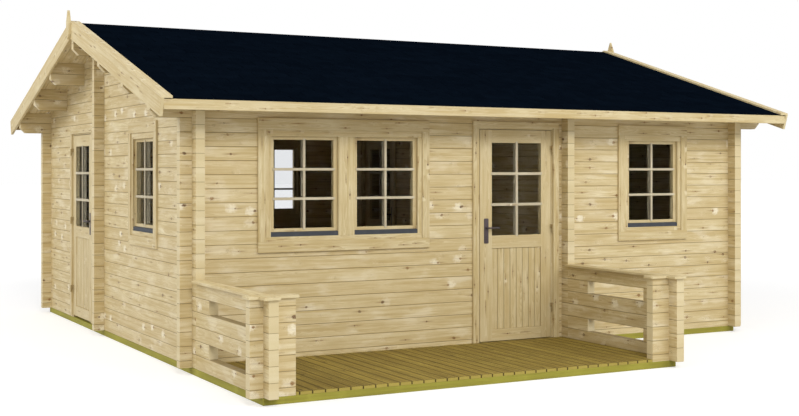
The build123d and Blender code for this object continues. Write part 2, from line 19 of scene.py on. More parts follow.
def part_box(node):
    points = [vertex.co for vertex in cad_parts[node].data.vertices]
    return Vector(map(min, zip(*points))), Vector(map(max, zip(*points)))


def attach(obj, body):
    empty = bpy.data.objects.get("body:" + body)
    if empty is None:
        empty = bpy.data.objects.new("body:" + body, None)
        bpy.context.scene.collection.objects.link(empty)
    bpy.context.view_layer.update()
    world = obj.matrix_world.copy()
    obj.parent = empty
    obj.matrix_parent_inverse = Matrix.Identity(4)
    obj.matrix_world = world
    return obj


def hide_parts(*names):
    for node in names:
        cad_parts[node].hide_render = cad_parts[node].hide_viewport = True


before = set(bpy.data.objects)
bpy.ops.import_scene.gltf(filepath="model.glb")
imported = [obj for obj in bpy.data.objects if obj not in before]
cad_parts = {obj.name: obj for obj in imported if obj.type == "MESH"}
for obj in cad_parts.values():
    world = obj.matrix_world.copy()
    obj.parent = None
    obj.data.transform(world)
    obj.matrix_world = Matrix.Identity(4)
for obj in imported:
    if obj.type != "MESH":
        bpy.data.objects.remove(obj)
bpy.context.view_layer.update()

report = logging.getLogger("log_cabin")

MM = 0.001
COURSE = 114 * MM
ROOF_PITCH = math.radians(16.8)
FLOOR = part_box("house_floor")[0].z
PANEL_BOARD = 535 * MM / 8
DECK_BOARD = 95 * MM
DECK_GROOVES = 5
DECK_STRIPS = 3 * DECK_GROOVES + 1
BAR_EDGE = 1.0 * MM
COVER_EDGE = 1.5 * MM
WHITE = "#FFFFFF"

# Two points nearer than this are one, and two faces nearer than this in angle are one face
SAME_POINT = 0.01 * MM
SAME_FACE = math.radians(0.5)
# A cutter eases what turns by more than the first angle, and what turns by less than the second looks round
EASED_ANGLE = math.radians(20)
ROUND_ANGLE = math.radians(32)

# What a timber's mesh carries for its finish: its own axes, its number, and which faces are sawn ends
GRAIN = "grain"
BOARD = "board"
END = "end_grain"
# A face this square to the fibres is a sawn end, and timbers come from anywhere in this length of trees
END_TURN = 0.8
TREE_LENGTH = 40.0
# Neighbouring numbers of timbers are spread this far apart, so that their noise has nothing in common
NUMBERS_APART = 977.0
# A knot's size is read from the same draw as its presence, which holds this many rounds of sizes
SIZE_ROUNDS = 7.0


def linear(code: str) -> tuple[float, float, float, float]:
    """A linear colour from an sRGB hex code.

    Args:
        code: The colour as #RRGGBB.

    Returns:
        Red, green, blue and an alpha of one.
    """
    shares = [int(code[start:start + 2], 16) / 255 for start in (1, 3, 5)]
    red, green, blue = (s / 12.92 if s <= 0.04045 else ((s + 0.055) / 1.055) ** 2.4 for s in shares)
    return red, green, blue, 1.0


class Kind(Enum):
    """The shader nodes that the finishes use: a type and the settings that tell it apart."""

    ABSOLUTE = ("ShaderNodeMath", {"operation": "ABSOLUTE"})
    ADD = ("ShaderNodeMath", {"operation": "ADD"})
    ADD_SHADER = ("ShaderNodeAddShader", {})
    ATTRIBUTE = ("ShaderNodeAttribute", {})
    BACKGROUND = ("ShaderNodeBackground", {})
    BUMP = ("ShaderNodeBump", {})
    COMBINE = ("ShaderNodeCombineXYZ", {})
    COORDINATES = ("ShaderNodeTexCoord", {})
    DIFFUSE = ("ShaderNodeBsdfDiffuse", {})
    EMISSION = ("ShaderNodeEmission", {})
    EXPONENT = ("ShaderNodeMath", {"operation": "EXPONENT"})
    FLOOR = ("ShaderNodeMath", {"operation": "FLOOR"})
    FRACTION = ("ShaderNodeMath", {"operation": "FRACT"})
    LENGTH = ("ShaderNodeVectorMath", {"operation": "LENGTH"})
    LESS = ("ShaderNodeMath", {"operation": "LESS_THAN"})
    LIGHT_PATH = ("ShaderNodeLightPath", {})
    MAPPING = ("ShaderNodeMapping", {})
    MAXIMUM = ("ShaderNodeMath", {"operation": "MAXIMUM"})
    MIX = ("ShaderNodeMix", {"data_type": "RGBA"})
    MULTIPLY = ("ShaderNodeMath", {"operation": "MULTIPLY"})
    NOISE = ("ShaderNodeTexNoise", {})
    OUTPUT = ("ShaderNodeOutputMaterial", {})
    OUTPUT_WORLD = ("ShaderNodeOutputWorld", {})
    POWER = ("ShaderNodeMath", {"operation": "POWER"})
    PRINCIPLED = ("ShaderNodeBsdfPrincipled", {})
    RANGE = ("ShaderNodeMapRange", {})
    SEPARATE = ("ShaderNodeSeparateXYZ", {})
    SMOOTH_RANGE = ("ShaderNodeMapRange", {"interpolation_type": "SMOOTHSTEP"})
    SUBTRACT = ("ShaderNodeMath", {"operation": "SUBTRACT"})
    VORONOI = ("ShaderNodeTexVoronoi", {})
    WHITE_NOISE = ("ShaderNodeTexWhiteNoise", {})


Socket = bpy.types.Node | bpy.types.NodeSocket
Source = float | tuple | Socket | None
Add = Callable[..., bpy.types.Node]
Span = tuple[float, float]


@dataclass(frozen=True)
class Shader:
    """A node tree, and the one way that finishes write to it."""

    tree: bpy.types.NodeTree

    def add(self, kind: Kind, *sources: Source, named: dict[str, Source] | None = None,
            **settings: object) -> bpy.types.Node:
        """One node with its settings and links.

        Args:
            kind: What node it is.
            sources: What goes into its sockets in use, in order. None leaves a socket alone, and a
                node stands for its first output in use.
            named: What goes into sockets given by name.
            settings: The node's own properties.

        Returns:
            The new node.
        """
        name, fixed = kind.value
        node = self.tree.nodes.new(name)
        for key, value in {**fixed, **settings}.items():
            setattr(node, key, value)
        used = [socket for socket in node.inputs if socket.enabled]
        pairs = list(zip(used, sources))
        pairs += [(node.inputs[key], value) for key, value in (named or {}).items()]
        for socket, source in pairs:
            if isinstance(source, bpy.types.Node):
                source = next(output for output in source.outputs if output.enabled)
            if isinstance(source, bpy.types.NodeSocket):
                self.tree.links.new(source, socket)
            elif source is not None:
                socket.default_value = source
        return node


def new_shader(name: str) -> tuple[bpy.types.Material, Shader]:
    """An empty material and the writer for its nodes.

    Args:
        name: What the material is called.

    Returns:
        The material and its writer.
    """
    material = bpy.data.materials.new(name)
    material.use_nodes = True
    material.node_tree.nodes.clear()
    return material, Shader(material.node_tree)


def scaled(add: Add, *parts: Socket | tuple[Socket, float]) -> bpy.types.Node:
    """A vector whose parts are taken as they are or, where they come with a number, times that number."""
    return add(Kind.COMBINE, *(add(Kind.MULTIPLY, *part) if isinstance(part, tuple) else part
                               for part in parts))


def seen_directly(add: Add) -> bpy.types.Node:
    """One for rays from the camera, a mirror or glass, and zero for those that only bring light."""
    rays = add(Kind.LIGHT_PATH).outputs
    return add(Kind.MAXIMUM, rays["Is Camera Ray"],
               add(Kind.MAXIMUM, rays["Is Glossy Ray"], rays["Is Transmission Ray"]))


@dataclass(frozen=True)
class Fibres:
    """What a timber's mesh tells its finish: its own axes, its number, its chances and its sawn ends."""

    along: Socket
    across: Socket
    depth: Socket
    number: Socket
    at_end: Socket
    on_side: Socket
    chances: tuple[Socket, ...]

    @classmethod
    def read(cls, add: Add) -> "Fibres":
        """Reads what every timber carries.

        Args:
            add: The way to add a node.

        Returns:
            The sockets that the pattern follows.
        """
        place = add(Kind.ATTRIBUTE, attribute_name=GRAIN).outputs["Vector"]
        along, across, depth = add(Kind.SEPARATE, place).outputs
        number = add(Kind.MULTIPLY, add(Kind.ATTRIBUTE, attribute_name=BOARD).outputs["Fac"], NUMBERS_APART)
        at_end = add(Kind.ATTRIBUTE, attribute_name=END).outputs["Fac"]
        chances = add(Kind.SEPARATE, add(Kind.WHITE_NOISE, number, noise_dimensions="1D").outputs["Color"])
        on_side = add(Kind.SUBTRACT, 1.0, at_end)
        return cls(along, across, depth, number, at_end, on_side, tuple(chances.outputs))


@dataclass(frozen=True)
class Knots:
    """What knots do to a timber: their dark core, the push on the rings, the trail of resin and the flare, a
    painted pale sheen.
    """

    core: Socket
    push: Socket
    resin: Socket
    flare: Socket


@dataclass(frozen=True)
class Timber:
    """Planed softwood, read from the timber's own axes that its mesh carries.

    The fibres lie in rings round a pith that stands off the timber's middle and wanders along it, so
    a face shows long pointed bands and an end shows arcs. Knots push the rings aside and trail a streak
    of resin, and beside some knots a pale flare is painted in as a sheen. Shade is painted into the
    joints and grooves where a timber has them.
    """

    name: str
    pale: str = "#DECFA5"
    late: str = "#B99E69"
    warm: str = "#BFA873"
    knot: str = "#634424"
    live_knot: str = "#8A6536"
    # Flare is the pale tone of the clouds, and also the colour of the painted sheen beside the knots
    flare: str = "#F8F0D8"
    end: str = "#D9CAA0"
    # Joint is painted shade, in the gaps at a face's edges and in the grooves along it
    joint: str = "#7F6B42"
    roughness: float = 0.58
    shine: float = 0.35
    ring: float = 7 * MM
    width: float = COURSE
    # How wide the painted shade at each edge of the face is, and the pitch and width of the painted shade in
    # grooves
    edge: float = 0.0
    flute: float = 0.0
    flute_width: float = 5 * MM
    streaks: float = 0.85
    spread: float = 0.2

    # Each stretch has a place for a knot, and a share of the places has one. Where it stands is a share
    # of the stretch and of the width, and the rest is in knot radii. It is longer along the fibres.
    knot_pitch: float = 310 * MM
    knot_share: float = 0.55
    knot_radius: float = 13 * MM
    knot_along: Span = (0.2, 0.8)
    knot_across: float = 0.4
    knot_sizes: Span = (0.45, 1.3)
    knot_oval: float = 0.8
    knot_rim: Span = (0.5, 1.1)
    knot_rag: float = 0.7
    knot_push_fall: float = 0.3

    # The resin trails off along and across the fibres, and its rim is in shares of that
    resin_length: float = 95 * MM
    resin_width: float = 9 * MM
    resin_rim: Span = (0.2, 1.1)
    resin_share: float = 0.55

    # The flare, a painted pale sheen, stands on one side of the knot, four radii along and three across, on
    # some timbers only
    flare_aside: float = 2.6
    flare_rates: Span = (0.25, 0.33)
    flare_rim: Span = (0.35, 1.2)
    flare_timbers: Span = (0.5, 0.9)

    # The pith stands off the middle by a share of the width, behind the face, and wanders either way
    pith_across: float = 0.3
    pith_depth: Span = (28 * MM, 80 * MM)
    pith_drift: Span = (55 * MM, 30 * MM)
    late_rise: float = 2.2

    # Patterns, in repeats to a metre along and across the fibres: the pith's drift is 900 mm long, the
    # rings waver over 250 by 33 mm, streaks are 770 by 24 mm, clouds 310 by 110 mm, and a knot's rag is
    # 25 mm wide. Fibres are finer than the 2.4 mm here, which is as coarse as they need to show.
    drift_rate: float = 1.1
    waver_rates: Span = (4.0, 30.0)
    streak_rates: Span = (1.3, 42.0)
    cloud_rates: Span = (3.2, 9.0)
    fibre_rates: Span = (9.0, 420.0)
    rag_rate: float = 40.0

    # How strongly each layer of colour covers the one before it, and over which stretch of its noise. The
    # flare's cover is painted sheen, and the seams' cover and the grooves' span are painted shade.
    late_cover: float = 0.62
    streak_span: Span = (0.42, 0.68)
    warm_cloud: tuple[float, ...] = (0.45, 0.68, 0.0, 0.4)
    pale_cloud: tuple[float, ...] = (0.48, 0.3, 0.0, 0.25)
    end_cover: float = 0.35
    flare_cover: float = 0.7
    live_span: Span = (0.3, 0.7)
    core_cover: float = 0.92
    seam_shade_cover: float = 0.8
    groove_shade_span: Span = (0.2, 1.0)

    # The late wood and the fibres stand out in equal shares, and the late wood is a little smoother
    relief: float = 0.35
    relief_depth: float = 0.4 * MM
    late_polish: float = 0.08

    def material(self) -> bpy.types.Material:
        """Writes the material.

        Returns:
            The finished material.
        """
        material, shader = new_shader(self.name)
        add = shader.add
        wood = Fibres.read(add)
        knots = self.knots(add, wood)
        late = self.late_wood(add, wood, knots)
        colour = self.colour(add, wood, knots, late)
        # Painted shade in the joints at the face's edges, and in the grooves along it
        if self.edge:
            colour = self.seam_shaded(add, wood, colour)
        if self.flute:
            colour = self.fluted(add, wood, colour)
        along, across = self.fibre_rates
        fibre = add(Kind.NOISE, scaled(add, (wood.along, along), (wood.across, across), (wood.depth, across)),
                    named={"Scale": 1.0, "Detail": 1.0})
        height = add(Kind.ADD, add(Kind.MULTIPLY, late, 0.5), add(Kind.MULTIPLY, fibre, 0.5))
        height = add(Kind.SUBTRACT, height, knots.core)
        bump = add(Kind.BUMP, named={"Strength": self.relief, "Distance": self.relief_depth,
                                     "Height": height})
        gloss = add(Kind.RANGE, late, 0, 1, self.roughness, self.roughness - self.late_polish)
        skin = add(Kind.PRINCIPLED, named={"Base Color": colour, "Roughness": gloss, "Normal": bump})
        skin.inputs["Specular IOR Level"].default_value = self.shine
        add(Kind.OUTPUT, skin)
        return material

    def knots(self, add: Add, wood: Fibres) -> Knots:
        """Sets the knots.

        Args:
            add: The way to add a node.
            wood: The timber's own axes and chances.

        Returns:
            What the knots do to the timber.
        """
        stretch = add(Kind.FLOOR, add(Kind.MULTIPLY, wood.along, 1 / self.knot_pitch))
        draw = add(Kind.WHITE_NOISE, add(Kind.COMBINE, stretch, wood.number), noise_dimensions="2D")
        place, level, chance = add(Kind.SEPARATE, draw.outputs["Color"]).outputs
        middle = add(Kind.MULTIPLY, add(Kind.ADD, stretch, add(Kind.RANGE, place, 0, 1, *self.knot_along)),
                     self.knot_pitch)
        most = self.knot_across * self.width
        aside = add(Kind.SUBTRACT, wood.along, middle)
        above = add(Kind.SUBTRACT, wood.across, add(Kind.RANGE, level, 0, 1, -most, most))
        present = add(Kind.MULTIPLY, add(Kind.LESS, chance, self.knot_share), wood.on_side)
        size = add(Kind.FRACTION, add(Kind.MULTIPLY, chance, SIZE_ROUNDS / self.knot_share))
        radius = add(Kind.RANGE, size, 0, 1, *(share * self.knot_radius for share in self.knot_sizes))
        rag = add(Kind.NOISE, add(Kind.COMBINE, wood.along, wood.across, wood.number),
                  named={"Scale": self.rag_rate, "Detail": 2.0})
        rag = add(Kind.RANGE, rag, 0, 1, -self.knot_rag, self.knot_rag)
        away = add(Kind.LENGTH, scaled(add, (aside, self.knot_oval), above))
        reach = add(Kind.ADD, add(Kind.MULTIPLY, away, add(Kind.POWER, radius, -1.0)), rag)
        core = add(Kind.MULTIPLY, add(Kind.SMOOTH_RANGE, reach, *self.knot_rim, 1.0, 0.0), present)
        push = add(Kind.POWER, add(Kind.MAXIMUM, reach, 0.0), 2.0)
        push = add(Kind.EXPONENT, add(Kind.MULTIPLY, push, -self.knot_push_fall))
        push = add(Kind.MULTIPLY, add(Kind.MULTIPLY, push, radius), present)
        resin = add(Kind.LENGTH, scaled(add, (aside, 1 / self.resin_length), (above, 1 / self.resin_width)))
        resin = add(Kind.SMOOTH_RANGE, resin, *self.resin_rim, self.resin_share, 0.0)
        resin = add(Kind.MULTIPLY, resin, present)
        # The flare: a painted pale sheen on one side of the knot, on some timbers only
        to_side = self.flare_aside * self.knot_radius
        side = add(Kind.RANGE, add(Kind.LESS, wood.chances[1], 0.5), 0, 1, -to_side, to_side)
        along, across = (rate / self.knot_radius for rate in self.flare_rates)
        flare = add(Kind.LENGTH, scaled(add, (add(Kind.SUBTRACT, aside, side), along), (above, across)))
        flare = add(Kind.SMOOTH_RANGE, add(Kind.ADD, flare, rag), *self.flare_rim, 1.0, 0.0)
        flare = add(Kind.MULTIPLY, add(Kind.MULTIPLY, flare, present),
                    add(Kind.SMOOTH_RANGE, wood.chances[2], *self.flare_timbers))
        return Knots(core, push, resin, flare)

    def late_wood(self, add: Add, wood: Fibres, knots: Knots) -> bpy.types.Node:
        """Draws the rings round the pith, each darker towards its late wood.

        Args:
            add: The way to add a node.
            wood: The timber's own axes and chances.
            knots: The knots, which push the rings aside.

        Returns:
            How late the wood is, from 0 to 1.
        """
        drift = add(Kind.NOISE, add(Kind.COMBINE, wood.along, wood.number),
                    named={"Scale": self.drift_rate, "Detail": 1.0}, noise_dimensions="2D")
        drifts = add(Kind.SEPARATE, drift.outputs["Color"]).outputs
        most = self.pith_across * self.width
        drift_across, drift_depth = self.pith_drift
        pith_across = add(Kind.ADD, add(Kind.RANGE, wood.chances[0], 0, 1, -most, most),
                          add(Kind.RANGE, drifts[0], 0, 1, -drift_across, drift_across))
        pith_depth = add(Kind.ADD, add(Kind.RANGE, wood.chances[1], 0, 1, *self.pith_depth),
                         add(Kind.RANGE, drifts[1], 0, 1, -drift_depth, drift_depth))
        along, across = self.waver_rates
        waver = add(Kind.NOISE, scaled(add, (wood.along, along), (wood.across, across),
                                       add(Kind.ADD, wood.number, wood.depth)),
                    named={"Scale": 1.0, "Detail": 2.0})
        away = add(Kind.LENGTH, add(Kind.COMBINE, add(Kind.SUBTRACT, wood.across, pith_across),
                                    add(Kind.SUBTRACT, wood.depth, pith_depth)))
        away = add(Kind.ADD, add(Kind.SUBTRACT, away, knots.push),
                   add(Kind.RANGE, waver, 0, 1, -self.ring, self.ring))
        return add(Kind.POWER, add(Kind.FRACTION, add(Kind.MULTIPLY, away, 1 / self.ring)), self.late_rise)

    def colour(self, add: Add, wood: Fibres, knots: Knots, late: Socket) -> bpy.types.Node:
        """Lays the colours over each other. Streaks and clouds are wider than a ring, so they show from afar.

        Args:
            add: The way to add a node.
            wood: The timber's own axes and chances.
            knots: The knots.
            late: How late the wood is.

        Returns:
            The timber's colour.
        """
        along, across = self.streak_rates
        streak = add(Kind.NOISE, scaled(add, (wood.along, along), (wood.across, across),
                                        add(Kind.ADD, wood.number, add(Kind.MULTIPLY, wood.depth, across))),
                     named={"Scale": 1.0, "Detail": 3.0, "Roughness": 0.65})
        streak = add(Kind.MULTIPLY, add(Kind.SMOOTH_RANGE, streak, *self.streak_span, 0.0, self.streaks),
                     wood.on_side)
        along, across = self.cloud_rates
        cloud = add(Kind.NOISE, scaled(add, (wood.along, along), (wood.across, across), wood.number),
                    named={"Scale": 1.0, "Detail": 3.0})
        heart = add(Kind.MIX, add(Kind.SMOOTH_RANGE, wood.chances[0], *self.live_span), linear(self.knot),
                    linear(self.live_knot))
        colour = linear(self.pale)
        for cover, layer in (
            (add(Kind.MULTIPLY, late, self.late_cover), linear(self.late)),
            (streak, linear(self.warm)),
            (add(Kind.MULTIPLY, wood.chances[2], self.spread), linear(self.late)),
            (add(Kind.SMOOTH_RANGE, cloud, *self.warm_cloud), linear(self.warm)),
            (add(Kind.SMOOTH_RANGE, cloud, *self.pale_cloud), linear(self.flare)),
            (add(Kind.MULTIPLY, wood.at_end, self.end_cover), linear(self.end)),
            (knots.resin, linear(self.live_knot)),
            # Painted sheen: the pale flare beside a knot
            (add(Kind.MULTIPLY, knots.flare, self.flare_cover), linear(self.flare)),
            (add(Kind.MULTIPLY, knots.core, self.core_cover), heart),
        ):
            colour = add(Kind.MIX, cover, colour, layer)
        return colour

    def seam_shaded(self, add: Add, wood: Fibres, colour: Socket) -> bpy.types.Node:
        """Paints shade into the joints along both edges of the timber's face.

        Args:
            add: The way to add a node.
            wood: The timber's own axes.
            colour: The timber's colour so far.

        Returns:
            Its colour with the painted joint shade.
        """
        rim = self.width / 2
        seam = add(Kind.RANGE, add(Kind.ABSOLUTE, wood.across), rim - self.edge, rim - self.edge / 3, 0.0,
                   self.seam_shade_cover)
        return add(Kind.MIX, seam, colour, linear(self.joint))

    def fluted(self, add: Add, wood: Fibres, colour: Socket) -> bpy.types.Node:
        """Paints shade into the grooves along the timber, more in some grooves than in others.

        Args:
            add: The way to add a node.
            wood: The timber's own axes.
            colour: The timber's colour so far.

        Returns:
            Its colour with the painted groove shade.
        """
        turns = add(Kind.ADD, add(Kind.MULTIPLY, wood.across, 1 / self.flute), 0.5)
        aside = add(Kind.ABSOLUTE, add(Kind.SUBTRACT, add(Kind.FRACTION, turns), 0.5))
        groove_shade_draw = add(Kind.WHITE_NOISE, add(Kind.COMBINE, add(Kind.FLOOR, turns), wood.number),
                   noise_dimensions="2D")
        hollow = add(Kind.SMOOTH_RANGE, aside, 0.0, self.flute_width / self.flute, 1.0, 0.0)
        hollow = add(Kind.MULTIPLY, hollow, add(Kind.RANGE, groove_shade_draw.outputs["Value"], 0, 1, *self.groove_shade_span))
        return add(Kind.MIX, add(Kind.MULTIPLY, hollow, wood.on_side), colour, linear(self.joint))


@dataclass(frozen=True)
class Shingles:
    """Bitumen shingles, cut from felt and dusted with slate granules, so they are matt and nearly black.

    The granules are about 2 mm wide, and drawn at 4 mm so that they show.
    """

    name: str = "bitumen_shingles"
    felt: str = "#050A12"
    granule: str = "#0C1520"
    roughness: float = 0.95
    grit: float = 4 * MM
    grit_share: float = 0.55
    cloud_rate: float = 9.0
    cloud_span: Span = (0.35, 0.65)
    uneven: float = 0.12
    relief: float = 0.5
    relief_depth: float = 1 * MM

    def material(self) -> bpy.types.Material:
        """Writes the material: granules in clouds, and a tint for each tab.

        Returns:
            The finished material.
        """
        material, shader = new_shader(self.name)
        add = shader.add
        spot = add(Kind.COORDINATES).outputs["Object"]
        tint = add(Kind.ATTRIBUTE, attribute_name=BOARD).outputs["Fac"]
        grit = add(Kind.VORONOI, spot, named={"Scale": 1 / self.grit})
        cloud = add(Kind.NOISE, spot, named={"Scale": self.cloud_rate, "Detail": 4.0})
        share = add(Kind.MULTIPLY, add(Kind.SEPARATE, grit.outputs["Color"]), self.grit_share)
        share = add(Kind.ADD, share, add(Kind.RANGE, cloud, *self.cloud_span, -self.uneven, self.uneven))
        share = add(Kind.ADD, share, add(Kind.RANGE, tint, 0, 1, -self.uneven, self.uneven))
        colour = add(Kind.MIX, share, linear(self.felt), linear(self.granule))
        bump = add(Kind.BUMP, named={"Strength": self.relief, "Distance": self.relief_depth,
                                     "Height": grit.outputs["Distance"]})
        skin = add(Kind.PRINCIPLED, named={"Base Color": colour, "Normal": bump})
        skin.inputs["Roughness"].default_value = self.roughness
        skin.inputs["Specular IOR Level"].default_value = 0.0
        add(Kind.OUTPUT, skin)
        return material


@dataclass(frozen=True)
class FloatGlass:
    """Clear float glass. It bends and mirrors light far less than glass does, so that the dark rooms show."""

    name: str = "float_glass"
    tint: str = "#F1F2F3"
    bend: float = 1.01
    wave: float = 220 * MM
    relief: float = 0.04
    relief_depth: float = 1 * MM

    def material(self) -> bpy.types.Material:
        """Writes the material, a little uneven in waves a hand wide.

        Returns:
            The finished material.
        """
        material, shader = new_shader(self.name)
        add = shader.add
        spot = add(Kind.COORDINATES).outputs["Object"]
        ripple = add(Kind.NOISE, spot, named={"Scale": 1 / self.wave, "Detail": 0.0})
        bump = add(Kind.BUMP, named={"Strength": self.relief, "Distance": self.relief_depth,
                                     "Height": ripple})
        skin = add(Kind.PRINCIPLED, named={"Normal": bump})
        for key, value in {"Base Color": linear(self.tint), "Roughness": 0.0, "IOR": self.bend,
                           "Transmission Weight": 1.0}.items():
            skin.inputs[key].default_value = value
        add(Kind.OUTPUT, skin)
        return material


@dataclass(frozen=True)
class Metal:
    """Sheet or cast metal, worn a little lighter in patches a hand wide, with fine scratches or cast grit."""

    name: str
    colour: str
    worn: str
    roughness: float
    metallic: float = 1.0
    sheen: float = 0.5
    grit: float = 1.2 * MM
    uneven: float = 0.06
    grit_span: Span = (0.3, 0.7)
    patch_rate: float = 14.0
    patch_span: Span = (0.4, 0.75)
    patch_cover: float = 0.6
    relief: float = 0.15
    relief_depth: float = 0.2 * MM
    stretch: tuple[float, float, float] = (1.0, 1.0, 1.0)

    def material(self) -> bpy.types.Material:
        """Writes the material.

        Returns:
            The finished material.
        """
        material, shader = new_shader(self.name)
        add = shader.add
        spot = add(Kind.MAPPING, add(Kind.COORDINATES).outputs["Object"], named={"Scale": self.stretch})
        fine = add(Kind.NOISE, spot, named={"Scale": 1 / self.grit, "Detail": 2.0})
        patch = add(Kind.NOISE, spot, named={"Scale": self.patch_rate, "Detail": 3.0})
        colour = add(Kind.MIX, add(Kind.SMOOTH_RANGE, patch, *self.patch_span, 0.0, self.patch_cover),
                     linear(self.colour), linear(self.worn))
        gloss = add(Kind.RANGE, fine, *self.grit_span, self.roughness - self.uneven,
                    self.roughness + self.uneven)
        bump = add(Kind.BUMP, named={"Strength": self.relief, "Distance": self.relief_depth, "Height": fine})
        skin = add(Kind.PRINCIPLED, named={"Base Color": colour, "Roughness": gloss, "Normal": bump})
        skin.inputs["Metallic"].default_value = self.metallic
        skin.inputs["Specular IOR Level"].default_value = self.sheen
        add(Kind.OUTPUT, skin)
        return material


class Stock(Enum):
    """The finishes of the cabin, under the names of the record's slots."""

    # Planed spruce logs: pale yellow, streaked along the grain, with brown knots beside a painted pale sheen,
    # and painted shade in the joints
    LOGS = ("pine_logs", Timber("planed_spruce_logs", edge=3 * MM, spread=0.3))
    # Spruce for sashes and doors: finer rings and small knots
    JOINERY = ("pine_joinery", Timber("planed_spruce_joinery", pale="#D6C69B", late="#B19763",
                                      flare="#E4D8B4", ring=4 * MM, width=60 * MM, knot_pitch=220 * MM,
                                      knot_share=0.5, knot_radius=6 * MM, streaks=0.6))
    # Tongued panel boards of the doors, with painted shade in the V at each joint
    PANEL = ("pine_joinery", Timber("v_jointed_spruce_panel", pale="#D6C69B", late="#B19763", flare="#E4D8B4",
                                    joint="#8F7B50", ring=4 * MM, width=PANEL_BOARD, knot_pitch=260 * MM,
                                    knot_share=0.4, knot_radius=7 * MM, edge=4 * MM))
    # Glazing bars, from the palest sapwood, nearly without knots
    BARS = ("pine_joinery", Timber("planed_sapwood_bars", pale="#C6BBA1", late="#B0A486", warm="#B4A88A",
                                   ring=4 * MM, width=25 * MM, knot_share=0.1, knot_radius=4 * MM,
                                   streaks=0.4))
    # Sawn and planed trim boards: like the logs, with the knots of a narrow board
    TRIM = ("pine_trim", Timber("planed_spruce_trim", pale="#D9CAA0", late="#B59B67", flare="#E6DAB4",
                                ring=5 * MM, width=80 * MM, knot_pitch=140 * MM, knot_share=0.4,
                                knot_radius=8 * MM))
    # Tongued roof boards, seen from below
    ROOF_BOARDS = ("roof_boards", Timber("tongued_spruce_roof_boards", ring=6 * MM, width=100 * MM,
                                         spread=0.4))
    # Tongued floor boards of the rooms
    FLOOR_BOARDS = ("floor_boards", Timber("tongued_spruce_floor_boards", ring=6 * MM, width=100 * MM,
                                           spread=0.4))
    # Pressure-treated bearers: copper salts turn the sawn wood olive green
    BEARERS = ("treated_bearers", Timber("copper_treated_bearers", pale="#A59F3C", late="#857D2A",
                                         warm="#8C8430", knot="#5C5518", live_knot="#6E6620", flare="#ADA648",
                                         end="#AAA43E", width=60 * MM, knot_share=0.3, roughness=0.75))
    # Pressure-treated deck boards, grooved for grip: browner than the bearers, with painted shade in the
    # grooves and in the gaps between boards
    DECKING = ("treated_decking", Timber("copper_treated_decking", pale="#B29C48", late="#80692A",
                                         warm="#8A7430", knot="#4C3D16", live_knot="#6B5722", flare="#B6A250",
                                         end="#B4A650", joint="#41330F", width=DECK_BOARD, ring=5 * MM,
                                         knot_share=0.25, spread=0.5, edge=5 * MM,
                                         flute=DECK_BOARD * 3 / DECK_STRIPS, flute_width=8 * MM,
                                         roughness=0.7))
    # Bitumen shingles, matt and nearly black
    ROOFING = ("roofing", Shingles())
    # Window and door panes, clear
    GLASS = ("glass", FloatGlass())
    # Folded sheet-metal sills, factory coated in slate grey
    SILL = ("sill_metal", Metal("coated_steel_sill", "#44474C", "#505358", 0.6, metallic=0.0, sheen=0.15))
    # Dark anodised aluminium handles, brushed along the plate
    FITTINGS = ("fittings_metal", Metal("dark_anodised_aluminium", "#554C4E", "#61585A", 0.5, metallic=0.3,
                                        sheen=0.2, stretch=(1.0, 1.0, 0.1)))
    # Barrel hinges and screws in yellow-passivated zinc, dull and nearly as pale as the timber
    HINGES = ("hinge_steel", Metal("passivated_zinc_hinge", "#A8946A", "#B8A57B", 0.6, metallic=0.2,
                                   sheen=0.2))

    @property
    def slot(self) -> str:
        """The record's name of the finish."""
        return self.value[0]

    def material(self) -> bpy.types.Material:
        """The finish's material, made the first time it is asked for."""
        finish = self.value[1]
        return bpy.data.materials.get(finish.name) or finish.material()


class Axis(Enum):
    """The three directions of a frame."""

    X = Vector((1, 0, 0))
    Y = Vector((0, 1, 0))
    Z = Vector((0, 0, 1))


class Body(Enum):
    """The bodies that pieces ride on."""

    HOUSE = "house"
    FRONT_DOOR = "front_door"
    STORE_DOOR = "store_door"
    ROOM_DOOR = "room_door"


def middle_of(part: bmesh.types.BMesh) -> Vector:
    """The middle of a mesh's box."""
    low, high = corners(part)
    return (low + high) / 2


def corners(part: bmesh.types.BMesh) -> tuple[Vector, Vector]:
    """The lowest and the highest corner of a mesh's box."""
    points = [vert.co for vert in part.verts]
    return (Vector(tuple(min(p[k] for p in points) for k in range(3))),
            Vector(tuple(max(p[k] for p in points) for k in range(3))))


def verts_in(items: Iterable[object]) -> list[bmesh.types.BMVert]:
    """The vertices among an operator's results."""
    return [item for item in items if isinstance(item, bmesh.types.BMVert)]


def faces_in(items: Iterable[object]) -> list[bmesh.types.BMFace]:
    """The faces among an operator's results."""
    return [item for item in items if isinstance(item, bmesh.types.BMFace)]


def grained(part: bmesh.types.BMesh, along: Vector, across: Vector, dice: random.Random) -> bmesh.types.BMesh:
    """Gives a timber the axes that its wood pattern follows.

    Args:
        part: The timber, where it lies.
        along: The way its fibres run.
        across: The way its width runs.
        dice: Where its number and its stretch of the tree come from.

    Returns:
        The same timber.
    """
    place = part.verts.layers.float_vector.new(GRAIN)
    number = part.verts.layers.float.new(BOARD)
    end = part.faces.layers.float.new(END)
    centre = middle_of(part)
    depth = along.cross(across)
    draw, start = dice.random(), dice.uniform(0, TREE_LENGTH)
    part.normal_update()
    for vert in part.verts:
        away = vert.co - centre
        vert[place] = Vector((away.dot(along) + start, away.dot(across), away.dot(depth)))
        vert[number] = draw
    for face in part.faces:
        face[end] = 1.0 if abs(face.normal.dot(along)) > END_TURN else 0.0
    return part


